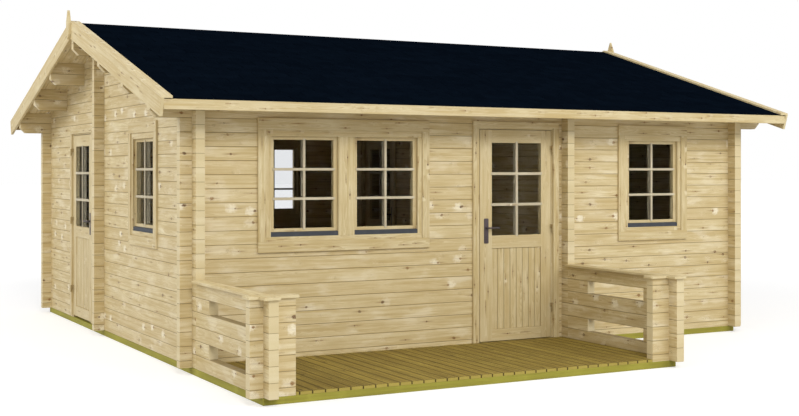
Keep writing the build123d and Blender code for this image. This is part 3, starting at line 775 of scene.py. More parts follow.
def bevelled(part: bmesh.types.BMesh, edges: list[bmesh.types.BMEdge], width: float,
             segments: int) -> bmesh.types.BMesh:
    """Rounds the given edges.

    Args:
        part: The piece.
        edges: The edges to round.
        width: How much the rounding takes of each face.
        segments: How many facets it has.

    Returns:
        The same piece.
    """
    bmesh.ops.bevel(part, geom=edges, offset=width, segments=segments, profile=0.5, affect="EDGES",
                    material=-1, clamp_overlap=True)
    return part


def eased(part: bmesh.types.BMesh, width: float, segments: int = 2) -> bmesh.types.BMesh:
    """Rounds every edge that stands at a real angle, as sandpaper or a cutter does.

    Args:
        part: The piece.
        width: How much the rounding takes of each face.
        segments: How many facets it has.

    Returns:
        The same piece.
    """
    sharp = [edge for edge in part.edges if len(edge.link_faces) == 2
             and edge.calc_face_angle(0) > EASED_ANGLE]
    return bevelled(part, sharp, width, segments)


def box(low: Iterable[float], high: Iterable[float]) -> bmesh.types.BMesh:
    """A block between two corners, the blank that boards and plates are cut from.

    Args:
        low: Its lowest corner.
        high: Its highest corner.

    Returns:
        The block.
    """
    low, high = Vector(low), Vector(high)
    part = bmesh.new()
    bmesh.ops.create_cube(part, size=1)
    bmesh.ops.scale(part, vec=high - low, verts=part.verts)
    bmesh.ops.translate(part, vec=(low + high) / 2, verts=part.verts)
    return part


def plank(low: Iterable[float], high: Iterable[float], along: Axis, dice: random.Random,
          edge: float = 2 * MM) -> bmesh.types.BMesh:
    """A planed timber between two corners, with eased edges.

    Args:
        low: Its lowest corner.
        high: Its highest corner.
        along: The way its fibres run.
        dice: Where its wood comes from.
        edge: How wide its edges are eased.

    Returns:
        The timber.
    """
    size = Vector(high) - Vector(low)
    rest = [axis for axis in Axis if axis is not along]
    across = max(rest, key=lambda axis: size.dot(axis.value))
    return grained(eased(box(low, high), edge), along.value, across.value, dice)


def trimmed(part: bmesh.types.BMesh, point: Iterable[float], outward: Iterable[float]) -> bmesh.types.BMesh:
    """Saws off what lies beyond a plane, and closes the cut.

    Args:
        part: The piece to saw.
        point: A point on the plane.
        outward: The direction in which the waste lies.

    Returns:
        The same piece.
    """
    geometry = part.verts[:] + part.edges[:] + part.faces[:]
    cut = bmesh.ops.bisect_plane(part, geom=geometry, dist=SAME_POINT, plane_co=Vector(point),
                                 plane_no=Vector(outward), clear_outer=True)["geom_cut"]
    rim = [item for item in cut if isinstance(item, bmesh.types.BMEdge) and item.is_boundary]
    if rim:
        bmesh.ops.triangle_fill(part, edges=rim, use_beauty=True, use_dissolve=True, normal=Vector(outward))
    return part


def moved(part: bmesh.types.BMesh, place: Matrix) -> bmesh.types.BMesh:
    """Puts a piece in its place, right side out also where the place mirrors it.

    Args:
        part: The piece.
        place: From its own axes to those of its place.

    Returns:
        The same piece.
    """
    bmesh.ops.transform(part, matrix=place, verts=part.verts)
    if place.determinant() < 0:
        bmesh.ops.reverse_faces(part, faces=part.faces)
    return part


def islands(node: str) -> list[bmesh.types.BMesh]:
    """The separate solids of a node of the frame, as merged copies with whole flat faces.

    Args:
        node: The node's name.

    Returns:
        One mesh for each solid, from left to right.
    """
    whole = bmesh.new()
    whole.from_mesh(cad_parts[node].data)
    bmesh.ops.remove_doubles(whole, verts=whole.verts, dist=SAME_POINT)
    bmesh.ops.dissolve_limit(whole, angle_limit=SAME_FACE, verts=whole.verts, edges=whole.edges)
    parts = []
    left = set(whole.verts)
    while left:
        group, front = set(), [next(vert for vert in whole.verts if vert in left)]
        while front:
            vert = front.pop()
            if vert not in group:
                group.add(vert)
                front += [edge.other_vert(vert) for edge in vert.link_edges]
        left -= group
        keep = {vert.index for vert in group}
        part = whole.copy()
        others = [vert for vert in part.verts if vert.index not in keep]
        bmesh.ops.delete(part, geom=others, context="VERTS")
        parts.append(part)
    whole.free()
    return sorted(parts, key=lambda part: tuple(corners(part)[0]))


class Workpiece:
    """A piece in the making: parts that end up as one mesh with one finish."""

    def __init__(self, name: str, stock: Stock, body: Body = Body.HOUSE) -> None:
        """Starts an empty piece.

        Args:
            name: What the piece is called.
            stock: Its finish.
            body: The body that it rides on.
        """
        self.name = name
        self.stock = stock
        self.body = body
        self.whole = bmesh.new()
        self.whole.verts.layers.float_vector.new(GRAIN)
        self.whole.verts.layers.float.new(BOARD)
        self.whole.faces.layers.float.new(END)

    def take(self, part: bmesh.types.BMesh, place: Matrix | None = None) -> None:
        """Adds a part.

        Args:
            part: The part, which is used up.
            place: Where it goes, if it isn't there yet.
        """
        if place is not None:
            moved(part, place)
        held = bpy.data.meshes.new("held")
        part.to_mesh(held)
        part.free()
        self.whole.from_mesh(held)
        bpy.data.meshes.remove(held)

    def take_planks(self, boards: Iterable[tuple[Iterable[float], Iterable[float], Axis]], place: Matrix,
                    dice: random.Random, edge: float) -> None:
        """Adds planed boards.

        Args:
            boards: Each board's lowest corner, its highest corner and the way its fibres run.
            place: From the boards' axes to the frame's.
            dice: Where their wood comes from.
            edge: How wide their edges are eased.
        """
        for low, high, along in boards:
            self.take(plank(low, high, along, dice, edge), place)

    def finish(self, *nodes: str, smooth: bool = False) -> bpy.types.Object:
        """Makes the object, dresses it and sets it on its body.

        Args:
            nodes: The nodes of the frame that it stands for.
            smooth: Whether its round faces are shaded as round.

        Returns:
            The finished object.
        """
        mesh = bpy.data.meshes.new(self.name)
        for face in self.whole.faces:
            face.smooth = smooth
        self.whole.to_mesh(mesh)
        self.whole.free()
        if smooth:
            mesh.set_sharp_from_angle(angle=ROUND_ANGLE)
        mesh.materials.append(self.stock.material())
        piece = bpy.data.objects.new(self.name, mesh)
        bpy.context.scene.collection.objects.link(piece)
        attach(piece, self.body.value)
        self.stock.slot
        if nodes:
            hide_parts(*nodes)
        report.info("%s: %d faces on %s, for %s", self.name, len(mesh.polygons), self.body.value,
                    ", ".join(nodes) or "no node of its own")
        return piece


def dress(node: str, stock: Stock) -> None:
    """Gives a node of the frame, which keeps its shape, a better finish.

    Args:
        node: The node's name.
        stock: Its finish.
    """
    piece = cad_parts[node]
    if not piece.material_slots:
        piece.data.materials.append(None)
    for slot in piece.material_slots:
        slot.link = "OBJECT"
        slot.material = stock.material()
    report.info("%s: dressed in %s", node, stock.slot)


@dataclass
class LogWork:
    """Walls, railings, plates and purlins, sawn apart into their single logs."""

    play: float = 0.4 * MM
    least_course: float = 0.01
    dice: random.Random = field(default_factory=lambda: random.Random(11))
    along_x: tuple[str, ...] = ("front_wall_left", "front_wall_right", "back_wall", "store_wall_front",
                                "wall_plates", "purlins", "railing_posts")
    along_y: tuple[str, ...] = ("left_wall_front", "left_wall_back", "right_wall", "gables",
                                "cross_wall_sides", "cross_wall_top", "store_wall_side", "railings")

    def build(self) -> None:
        """Makes the logs of every node."""
        for node in self.along_x:
            self.saw(node, Axis.X, FLOOR + COURSE / 2)
        for node in self.along_y:
            self.saw(node, Axis.Y, FLOOR)

    def saw(self, node: str, along: Axis, first_joint: float) -> None:
        """Saws one node into logs at its joints.

        Args:
            node: The node of the frame.
            along: The way its logs lie.
            first_joint: The height of its lowest joint.
        """
        work = Workpiece(f"{node}_logs", Stock.LOGS)
        for solid in islands(node):
            low, high = corners(solid)
            first = math.floor((low.z - first_joint) / COURSE + self.least_course)
            last = math.ceil((high.z - first_joint) / COURSE - self.least_course)
            for step in range(first, last):
                bottom = first_joint + step * COURSE
                timber = solid.copy()
                if bottom > low.z + self.play:
                    trimmed(timber, (0, 0, bottom + self.play / 2), (0, 0, -1))
                if bottom + COURSE < high.z - self.play:
                    trimmed(timber, (0, 0, bottom + COURSE - self.play / 2), (0, 0, 1))
                if timber.faces:
                    work.take(self.marked(timber, along, bottom))
            solid.free()
        work.finish(node)

    def marked(self, timber: bmesh.types.BMesh, along: Axis, bottom: float) -> bmesh.types.BMesh:
        """Gives a log its wood, measured from the middle of its course also where it is cut lower.

        Args:
            timber: The log.
            along: The way it lies.
            bottom: The height of its course's lower joint.

        Returns:
            The same log.
        """
        grained(timber, along.value, Axis.Z.value, self.dice)
        shift = middle_of(timber).z - (bottom + COURSE / 2)
        place = timber.verts.layers.float_vector[GRAIN]
        for vert in timber.verts:
            vert[place] = vert[place] + Vector((0, shift, 0))
        return timber


@dataclass
class Trim:
    """Bearers and roof trim: plain timbers of the frame with eased edges and their own wood."""

    edge: float = 2 * MM
    sawn_edge: float = 3 * MM
    dice: random.Random = field(default_factory=lambda: random.Random(23))

    def build(self) -> None:
        """Makes the bearers, fascias, bargeboards, covers and finials."""
        self.ease("long_bearers", Stock.BEARERS, Axis.Y.value, Axis.X.value, self.sawn_edge)
        self.ease("cross_bearers", Stock.BEARERS, Axis.X.value, Axis.Y.value, self.sawn_edge)
        self.ease("eave_fascias", Stock.TRIM, Axis.X.value, Axis.Z.value, self.edge)
        self.ease("finials", Stock.TRIM, Axis.Z.value, Axis.Y.value, self.edge)
        for name, side in (("front", -1), ("back", 1)):
            up_slope = Vector((0, -side * math.cos(ROOF_PITCH), math.sin(ROOF_PITCH)))
            square = up_slope.cross(Axis.X.value)
            self.ease(f"bargeboards_{name}", Stock.TRIM, up_slope, square, self.edge)
            self.ease(f"rake_covers_{name}", Stock.TRIM, up_slope, Axis.X.value, self.edge)

    def ease(self, node: str, stock: Stock, along: Vector, across: Vector, edge: float) -> None:
        """Makes one node's timbers.

        Args:
            node: The node of the frame.
            stock: Their finish.
            along: The way their fibres run.
            across: The way their width runs.
            edge: How wide their edges are eased.
        """
        work = Workpiece(f"{node}_timber", stock)
        for solid in islands(node):
            work.take(grained(eased(solid, edge), along, across, self.dice))
        work.finish(node)


@dataclass
class Caps:
    """The boards on the railings: a long board, with a cross board over the post."""

    width: float = 120 * MM
    left_overhang: float = 40 * MM
    arm_corner: float = 12 * MM
    edge: float = 3 * MM
    joint: float = 0.6 * MM
    dice: random.Random = field(default_factory=lambda: random.Random(31))

    def build(self) -> None:
        """Makes both caps."""
        work = Workpiece("railing_cap_boards", Stock.TRIM)
        posts = islands("railing_posts")
        walls = islands("railings")
        for cap, post, wall in zip(islands("railing_caps"), posts, walls):
            low, high = corners(cap)
            left = corners(wall)[0].x - self.left_overhang
            right = left + self.width
            middle = middle_of(post).y
            front, back = middle - self.width / 2, middle + self.width / 2
            work.take(plank((left, low.y, low.z), (right, high.y, high.z), Axis.Y, self.dice, self.edge))
            for x_tip, x_root, outward in ((low.x, left - self.joint, -1), (high.x, right + self.joint, 1)):
                if abs(x_root - x_tip) > 2 * self.edge:
                    work.take(self.arm(x_tip, x_root, front, back, low.z, high.z, outward))
            for part in (cap, post, wall):
                part.free()
        work.finish("railing_caps")

    def arm(self, x_tip: float, x_root: float, front: float, back: float, z_low: float, z_high: float,
            outward: int) -> bmesh.types.BMesh:
        """One arm of the cross board, with its outer corners cut off.

        Args:
            x_tip: Where the arm ends.
            x_root: Where it meets the long board.
            front: Its front edge.
            back: Its back edge.
            z_low: Its underside.
            z_high: Its top.
            outward: -1 for an arm to the left, and 1 for one to the right.

        Returns:
            The arm.
        """
        part = box((min(x_tip, x_root), front, z_low), (max(x_tip, x_root), back, z_high))
        for y, side in ((front, -1), (back, 1)):
            trimmed(part, (x_tip, y - side * self.arm_corner, z_low), (outward, side, 0))
        return grained(eased(part, self.edge), Axis.Y.value, Axis.X.value, self.dice)


@dataclass
class Deck:
    """The terrace deck: grooved boards from the front bearer to the house.

    A real board has about nine grooves. Five are cut, so that they can be told apart from the front.
    The middle of one gap gives the places of all the boards, and the rows of screws lie over the
    bearers.
    """

    gap: float = 5 * MM
    pitch: float = 100 * MM
    narrowest: float = 20 * MM
    groove_depth: float = 2.5 * MM
    first_gap: float = -2.591
    post_clear: float = 3 * MM
    screw_radius: float = 4.5 * MM
    screw_depth: float = 2 * MM
    screw_proud: float = 0.4 * MM
    screw_sides: int = 10
    screw_inset: float = 22 * MM
    screw_clear: float = 10 * MM
    screw_rows: tuple[float, ...] = (-2.5375, -3.2, -3.9745)
    dice: random.Random = field(default_factory=lambda: random.Random(47))

    def build(self) -> None:
        """Lays the boards, saws round the posts and sets the screws."""
        low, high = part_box("terrace_deck")
        posts = [corners(post) for post in islands("railing_posts")]
        work = Workpiece("deck_boards", Stock.DECKING)
        gap_before = self.first_gap - self.pitch * math.ceil((self.first_gap - low.x) / self.pitch)
        screws = Workpiece("deck_screws", Stock.HINGES)
        while gap_before < high.x:
            left = max(gap_before + self.gap / 2, low.x)
            right = min(gap_before + self.pitch - self.gap / 2, high.x)
            gap_before += self.pitch
            if right - left < self.narrowest:
                continue
            board = self.board(Vector((left, low.y, low.z)), Vector((right, high.y, high.z)))
            for post_low, post_high in posts:
                board = self.notched(board, post_low, post_high)
            work.take(grained(board, Axis.Y.value, Axis.X.value, self.dice))
            for y in self.screw_rows:
                for x in (left + self.screw_inset, right - self.screw_inset):
                    if not any(self.near(x, y, *post) for post in posts):
                        screws.take(self.screw(x, y, high.z))
        work.finish("terrace_deck")
        screws.finish(smooth=True)

    def near(self, x: float, y: float, low: Vector, high: Vector) -> bool:
        """Whether a screw would stand under or right beside a post."""
        clear = self.screw_clear
        return low.x - clear < x < high.x + clear and low.y - clear < y < high.y + clear

    def board(self, low: Vector, high: Vector) -> bmesh.types.BMesh:
        """A board with grooves along its top.

        Args:
            low: Its lowest corner.
            high: Its highest corner.

        Returns:
            The board.
        """
        size = high - low
        part = bmesh.new()
        bmesh.ops.create_grid(part, x_segments=DECK_STRIPS, y_segments=1, size=0.5)
        top = verts_in(bmesh.ops.extrude_face_region(part, geom=part.faces[:])["geom"])
        bmesh.ops.translate(part, vec=(0, 0, 1), verts=top)
        valleys = [vert for vert in top if round((vert.co.x + 0.5) * DECK_STRIPS) % 3 == 2]
        bmesh.ops.translate(part, vec=(0, 0, -self.groove_depth / size.z), verts=valleys)
        bmesh.ops.scale(part, vec=size, verts=part.verts)
        bmesh.ops.translate(part, vec=((low.x + high.x) / 2, (low.y + high.y) / 2, low.z), verts=part.verts)
        bmesh.ops.recalc_face_normals(part, faces=part.faces)
        return part

    def notched(self, board: bmesh.types.BMesh, post_low: Vector, post_high: Vector) -> bmesh.types.BMesh:
        """Saws a board round a post where they meet.

        Args:
            board: The board.
            post_low: The post's lowest corner.
            post_high: The post's highest corner.

        Returns:
            The board, which may have a notch.
        """
        low, high = corners(board)
        left, right = post_low.x - self.post_clear, post_high.x + self.post_clear
        back = post_high.y + self.post_clear
        if right <= low.x or left >= high.x or back <= low.y:
            return board
        rest = trimmed(board.copy(), (0, back, 0), (0, -1, 0))
        strips = []
        if left > low.x:
            strips.append(trimmed(board.copy(), (left, 0, 0), (1, 0, 0)))
        if right < high.x:
            strips.append(trimmed(board.copy(), (right, 0, 0), (-1, 0, 0)))
        board.free()
        held = bpy.data.meshes.new("held")
        for strip in strips:
            trimmed(strip, (0, back, 0), (0, 1, 0))
            strip.to_mesh(held)
            strip.free()
            rest.from_mesh(held)
        bpy.data.meshes.remove(held)
        return rest

    def screw(self, x: float, y: float, top: float) -> bmesh.types.BMesh:
        """A screw head that stands a little proud of the board's face.

        Args:
            x: Where it stands along the front.
            y: Where it stands from front to back.
            top: The height of the board's face.

        Returns:
            The head.
        """
        part = bmesh.new()
        bmesh.ops.create_cone(part, cap_ends=True, segments=self.screw_sides, radius1=self.screw_radius,
                              radius2=self.screw_radius, depth=self.screw_depth)
        bmesh.ops.translate(part, vec=(x, y, top + self.screw_proud - self.screw_depth / 2), verts=part.verts)
        return part


@dataclass
class Roof:
    """Tongued boards over the purlins, and shingles on them."""

    board: float = 28 * MM
    board_pitch: float = 107 * MM
    board_joint: float = 1 * MM
    board_edge: float = 4 * MM
    row_pitch: float = 145 * MM
    row_lap: float = 25 * MM
    tab_pitch: float = 333 * MM
    slot: float = 6 * MM
    sheet: float = 3.2 * MM
    underlay: float = 1.5 * MM
    underlay_inset: float = 5 * MM
    ridge_reach: float = 150 * MM
    dice: random.Random = field(default_factory=lambda: random.Random(59))

    def build(self) -> None:
        """Makes both slopes and the ridge."""
        for name, side in (("front", -1), ("back", 1)):
            self.boards(name, side)
            self.shingles(name, side)
        self.ridge()

    def on_slope(self, side: int, z_ridge: float) -> Matrix:
        """The place of a slope whose own axes are X along the eave, Y down the slope and Z square to it.

        Args:
            side: -1 for the front slope, and 1 for the back one.
            z_ridge: How high its top edge lies.

        Returns:
            From the slope's own axes to the frame's.
        """
        turn = Matrix.Rotation(0 if side > 0 else math.pi, 4, "Z")
        return Matrix.Translation((0, 0, z_ridge)) @ turn @ Matrix.Rotation(-ROOF_PITCH, 4, "X")

    def boards(self, name: str, side: int) -> None:
        """Lays the boards of one slope, plumb cut at the ridge and at the eave.

        Args:
            name: The slope's name.
            side: -1 for the front slope, and 1 for the back one.
        """
        low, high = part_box(f"roof_boards_{name}")
        eave = max(abs(low.y), abs(high.y))
        count = round((high.x - low.x) / self.board_pitch)
        pitch = (high.x - low.x) / count
        length = eave / math.cos(ROOF_PITCH) + self.board
        slope = self.on_slope(side, high.z - self.board / math.cos(ROOF_PITCH))
        work = Workpiece(f"roof_boards_{name}_tongued", Stock.ROOF_BOARDS)
        for step in range(count):
            left = low.x + step * pitch + self.board_joint / 2
            part = plank((left, -self.board, 0), (left + pitch - self.board_joint, length, self.board),
                         Axis.Y, self.dice, self.board_edge)
            shift = 0.0 if side > 0 else -(2 * left + pitch - self.board_joint)
            moved(part, slope @ Matrix.Translation((shift, 0, 0)))
            trimmed(part, (0, 0, 0), (0, -side, 0))
            trimmed(part, (0, side * eave, 0), (0, side, 0))
            work.take(part)
        work.finish(f"roof_boards_{name}")

    def shingles(self, name: str, side: int) -> None:
        """Lays the underlay of one slope and its rows of shingles, each row over the one below it.

        Args:
            name: The slope's name.
            side: -1 for the front slope, and 1 for the back one.
        """
        low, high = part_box(f"roofing_{name}")
        z_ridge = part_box(f"roof_boards_{name}")[1].z
        eave = max(abs(low.y), abs(high.y)) / math.cos(ROOF_PITCH)
        slope = self.on_slope(side, z_ridge)
        tilt = Matrix.Rotation(math.atan2(self.sheet, self.row_pitch), 4, "X")
        half = (high.x - low.x) / 2
        work = Workpiece(f"roofing_{name}_shingles", Stock.ROOFING)
        felt = box((self.underlay_inset - half, 0, 0),
                   (half - self.underlay_inset, eave - self.underlay_inset, self.underlay))
        work.take(grained(felt, Axis.X.value, Axis.Y.value, self.dice), slope)
        for row in range(math.ceil(eave / self.row_pitch)):
            lower = eave - row * self.row_pitch
            upper = max(lower - self.row_pitch - self.row_lap, 0.0)
            place = slope @ Matrix.Translation((0, lower, 0)) @ tilt.inverted()
            start = -half - (row % 2) * self.tab_pitch / 2
            while start < half:
                left = max(start + self.slot / 2, -half)
                right = min(start + self.tab_pitch - self.slot / 2, half)
                start += self.tab_pitch
                if right > left:
                    part = box((left, upper - lower, self.sheet), (right, 0, 2 * self.sheet))
                    grained(part, Axis.Y.value, Axis.X.value, self.dice)
                    work.take(part, place)
        work.finish(f"roofing_{name}")

    def ridge(self) -> None:
        """Bends a strip of felt over the ridge."""
        low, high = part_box("roofing_front")
        work = Workpiece("ridge_strip", Stock.ROOFING)
        for side in (-1, 1):
            part = box((low.x, 0, 0), (high.x, self.ridge_reach, self.sheet))
            grained(part, Axis.X.value, Axis.Y.value, self.dice)
            moved(part, self.on_slope(side, high.z - self.sheet / 2))
            work.take(trimmed(part, (0, 0, 0), (0, -side, 0)))
        work.finish()


@dataclass(frozen=True)
class Opening:
    """A place in a wall for a window or a door."""

    centre: float
    face: float
    turn: float
    mirrored: bool = False

    @property
    def place(self) -> Matrix:
        """From the opening's own axes to the frame's."""
        across_x = self.turn in (0, 180)
        point = (self.centre, self.face, FLOOR) if across_x else (self.face, self.centre, FLOOR)
        place = Matrix.Translation(point) @ Matrix.Rotation(math.radians(self.turn), 4, "Z")
        return place @ Matrix.Diagonal((-1, 1, 1, 1)) if self.mirrored else place


@dataclass
class Windows:
    """The windows: stepped casing, frame, sashes with six panes each and metal sills."""

    wall: float = 75 * MM
    pane_width: float = 615 * MM
    pane_height: float = 832 * MM
    bottom: float = 1025 * MM
    jamb: float = 30 * MM
    mullion: float = 152 * MM
    casing: float = 20 * MM
    casing_side: float = 115 * MM
    casing_top: float = 150 * MM
    casing_bottom: float = 128 * MM
    board_side: float = 72 * MM
    board_top: float = 97 * MM
    board_bottom: float = 87 * MM
    step: float = 10 * MM
    recess: float = 15 * MM
    sash: float = 45 * MM
    glass_setback: float = 8 * MM
    stile: float = 35 * MM
    top_rail: float = 28 * MM
    bottom_rail: float = 67 * MM
    bar: float = 22 * MM
    bar_lap: float = 13 * MM
    bar_cover: float = 6 * MM
    glass: float = 6 * MM
    edge: float = 2 * MM
    sill_back: float = 40 * MM
    sill_front: float = 33 * MM
    sill_nose: float = 4 * MM
    sill_edge: float = 0.8 * MM
    sheet: float = 2 * MM
    lip: float = 8 * MM
    dice: random.Random = field(default_factory=lambda: random.Random(71))

    def build(self) -> None:
        """Makes every window."""
        frames = Workpiece("window_frames_cased", Stock.TRIM)
        sashes = Workpiece("window_sashes_glazed", Stock.JOINERY)
        bars = Workpiece("window_bars", Stock.BARS)
        sills = Workpiece("window_sills_folded", Stock.SILL)
        for opening, panes in self.openings():
            self.frame(frames, opening, panes)
            for x in self.pane_middles(panes):
                self.sash_parts(sashes, opening, x)
                self.bar_parts(bars, opening, x)
                self.sill(sills, opening, x)
        frames.finish("window_frames")
        sashes.finish("window_sashes")
        bars.finish()
        sills.finish("window_sills")
        dress("window_glass", Stock.GLASS)

    def openings(self) -> list[tuple[Opening, int]]:
        """Each window's place and its number of panes, read from the frames in the walls.

        Returns:
            The place and the number of panes of each window.
        """
        found = []
        for solid in islands("window_frames"):
            low, high = corners(solid)
            solid.free()
            middle, size = (low + high) / 2, high - low
            in_x_wall = size.x > size.y
            panes = round((max(size.x, size.y) - 2 * self.casing_side + self.mullion)
                          / (self.pane_width + self.mullion))
            if in_x_wall:
                outward = -1 if middle.y < 0 else 1
                face = (low.y + self.casing) if outward < 0 else (high.y - self.casing)
                found.append((Opening(middle.x, face, 0 if outward < 0 else 180), panes))
            else:
                found.append((Opening(middle.y, low.x + self.casing, -90), panes))
        return found

    def pane_middles(self, panes: int) -> list[float]:
        """The middles of a window's panes, across the window."""
        return [(self.pane_width + self.mullion) * (k - (panes - 1) / 2) for k in range(panes)]

    def frame(self, work: Workpiece, opening: Opening, panes: int) -> None:
        """The frame in the wall and the casing on both faces.

        Args:
            work: The piece that takes the boards.
            opening: Where the window stands.
            panes: How many panes it has.
        """
        half = (panes * self.pane_width + (panes - 1) * self.mullion) / 2
        z0, z1 = self.bottom, self.bottom + self.pane_height
        wide, low, high = half + self.casing_side, z0 - self.casing_bottom, z1 + self.casing_top
        x_board = wide - self.board_side
        z_low_board, z_high_board = low + self.board_bottom, high - self.board_top
        front, back, proud = 0.0, self.wall, -self.casing
        flush = -self.step
        boards = [
            ((-wide, proud, z_high_board), (wide, front, high), Axis.X),
            ((-wide, proud, low), (wide, front, z_low_board), Axis.X),
            ((-wide, proud, z_low_board), (-x_board, front, z_high_board), Axis.Z),
            ((x_board, proud, z_low_board), (wide, front, z_high_board), Axis.Z),
            ((-x_board, flush, z1), (x_board, front, z_high_board), Axis.X),
            ((-x_board, flush, z_low_board), (x_board, front, z0), Axis.X),
            ((-x_board, flush, z0), (-half, front, z1), Axis.Z),
            ((half, flush, z0), (x_board, front, z1), Axis.Z),
            ((-half - self.jamb, front, z0), (-half, back, z1), Axis.Z),
            ((half, front, z0), (half + self.jamb, back, z1), Axis.Z),
            ((-half - self.jamb, front, z1), (half + self.jamb, back, z1 + self.jamb), Axis.X),
            ((-half - self.jamb, front, z0 - self.jamb), (half + self.jamb, back, z0), Axis.X),
            ((-wide, back, z1), (wide, back + self.casing, high), Axis.X),
            ((-wide, back, low), (wide, back + self.casing, z0), Axis.X),
            ((-wide, back, z0), (-half, back + self.casing, z1), Axis.Z),
            ((half, back, z0), (wide, back + self.casing, z1), Axis.Z),
        ]
        if panes > 1:
            thick = self.mullion / 2
            boards += [((-thick, flush, z0), (thick, front, z1), Axis.Z),
                       ((-thick, front, z0), (thick, back, z1), Axis.Z),
                       ((-thick, back, z0), (thick, back + self.casing, z1), Axis.Z)]
        work.take_planks(boards, opening.place, self.dice, self.edge)

    def sash_parts(self, work: Workpiece, opening: Opening, x: float) -> None:
        """The stiles and rails of a sash.

        Args:
            work: The piece that takes them.
            opening: Where the window stands.
            x: The pane's middle.
        """
        half = self.pane_width / 2
        z0, z1 = self.bottom, self.bottom + self.pane_height
        near, far = self.recess, self.recess + self.sash
        boards = [
            ((x - half, near, z0), (x - half + self.stile, far, z1), Axis.Z),
            ((x + half - self.stile, near, z0), (x + half, far, z1), Axis.Z),
            ((x - half + self.stile, near, z1 - self.top_rail), (x + half - self.stile, far, z1), Axis.X),
            ((x - half + self.stile, near, z0), (x + half - self.stile, far, z0 + self.bottom_rail), Axis.X),
        ]
        work.take_planks(boards, opening.place, self.dice, self.edge)

    def bar_parts(self, work: Workpiece, opening: Opening, x: float) -> None:
        """The bars on both sides of a pane: one upright and two across.

        Args:
            work: The piece that takes them.
            opening: Where the window stands.
            x: The pane's middle.
        """
        half = self.pane_width / 2 - self.stile
        z0, z1 = self.bottom + self.bottom_rail, self.bottom + self.pane_height - self.top_rail
        glass = self.recess + self.glass_setback
        lattice(work, opening.place, x, half, z0, z1, self.bar, self.bar_lap,
                [(self.recess - self.bar_cover, self.recess, True), (self.recess, glass, False),
                 (glass + self.glass, self.recess + self.sash, False)], self.dice)

    def sill(self, work: Workpiece, opening: Opening, x: float) -> None:
        """A folded sill: a sloped top and a lip in front of it.

        Args:
            work: The piece that takes them.
            opening: Where the window stands.
            x: The pane's middle.
        """
        half = self.pane_width / 2
        front, back = -self.sill_nose, self.recess
        part = box((x - half, front, self.bottom), (x + half, back, self.bottom + self.sill_back))
        fall = math.atan2(self.sill_back - self.sill_front, back - front)
        trimmed(part, (x, back, self.bottom + self.sill_back), (0, -math.sin(fall), math.cos(fall)))
        fold = box((x - half, front - self.sheet, self.bottom), (x + half, front, self.bottom + self.lip))
        for item in (part, fold):
            work.take(eased(item, self.sill_edge), opening.place)


def lattice(work: Workpiece, place: Matrix, x: float, half: float, z0: float, z1: float, bar: float,
            lap: float, layers: list[tuple[float, float, bool]], dice: random.Random) -> None:
    """Glazing bars over a pane: one upright in the middle and two across at the thirds.

    Args:
        work: The piece that takes the bars.
        place: From the opening's own axes to the frame's.
        x: The pane's middle.
        half: Half the glass's width.
        z0: The glass's lowest height.
        z1: The glass's highest height.
        bar: A bar's width.
        lap: How far a cover bar runs on over the wood round the glass.
        layers: Where each layer of bars starts and ends, and whether it is a cover.
        dice: Where the wood comes from.
    """
    heights = [z0 + (z1 - z0) * k / 3 for k in (1, 2)]
    for near, far, covers in layers:
        more, edge = (lap, COVER_EDGE) if covers else (0.0, BAR_EDGE)
        stops = [z0 - more, *(z + side * bar / 2 for z in heights for side in (-1, 1)), z1 + more]
        boards = [((x - half - more, near, z - bar / 2), (x + half + more, far, z + bar / 2), Axis.X)
                  for z in heights]
        boards += [((x - bar / 2, near, low), (x + bar / 2, far, high), Axis.Z)
                   for low, high in zip(stops[::2], stops[1::2])]
        work.take_planks(boards, place, dice, edge)


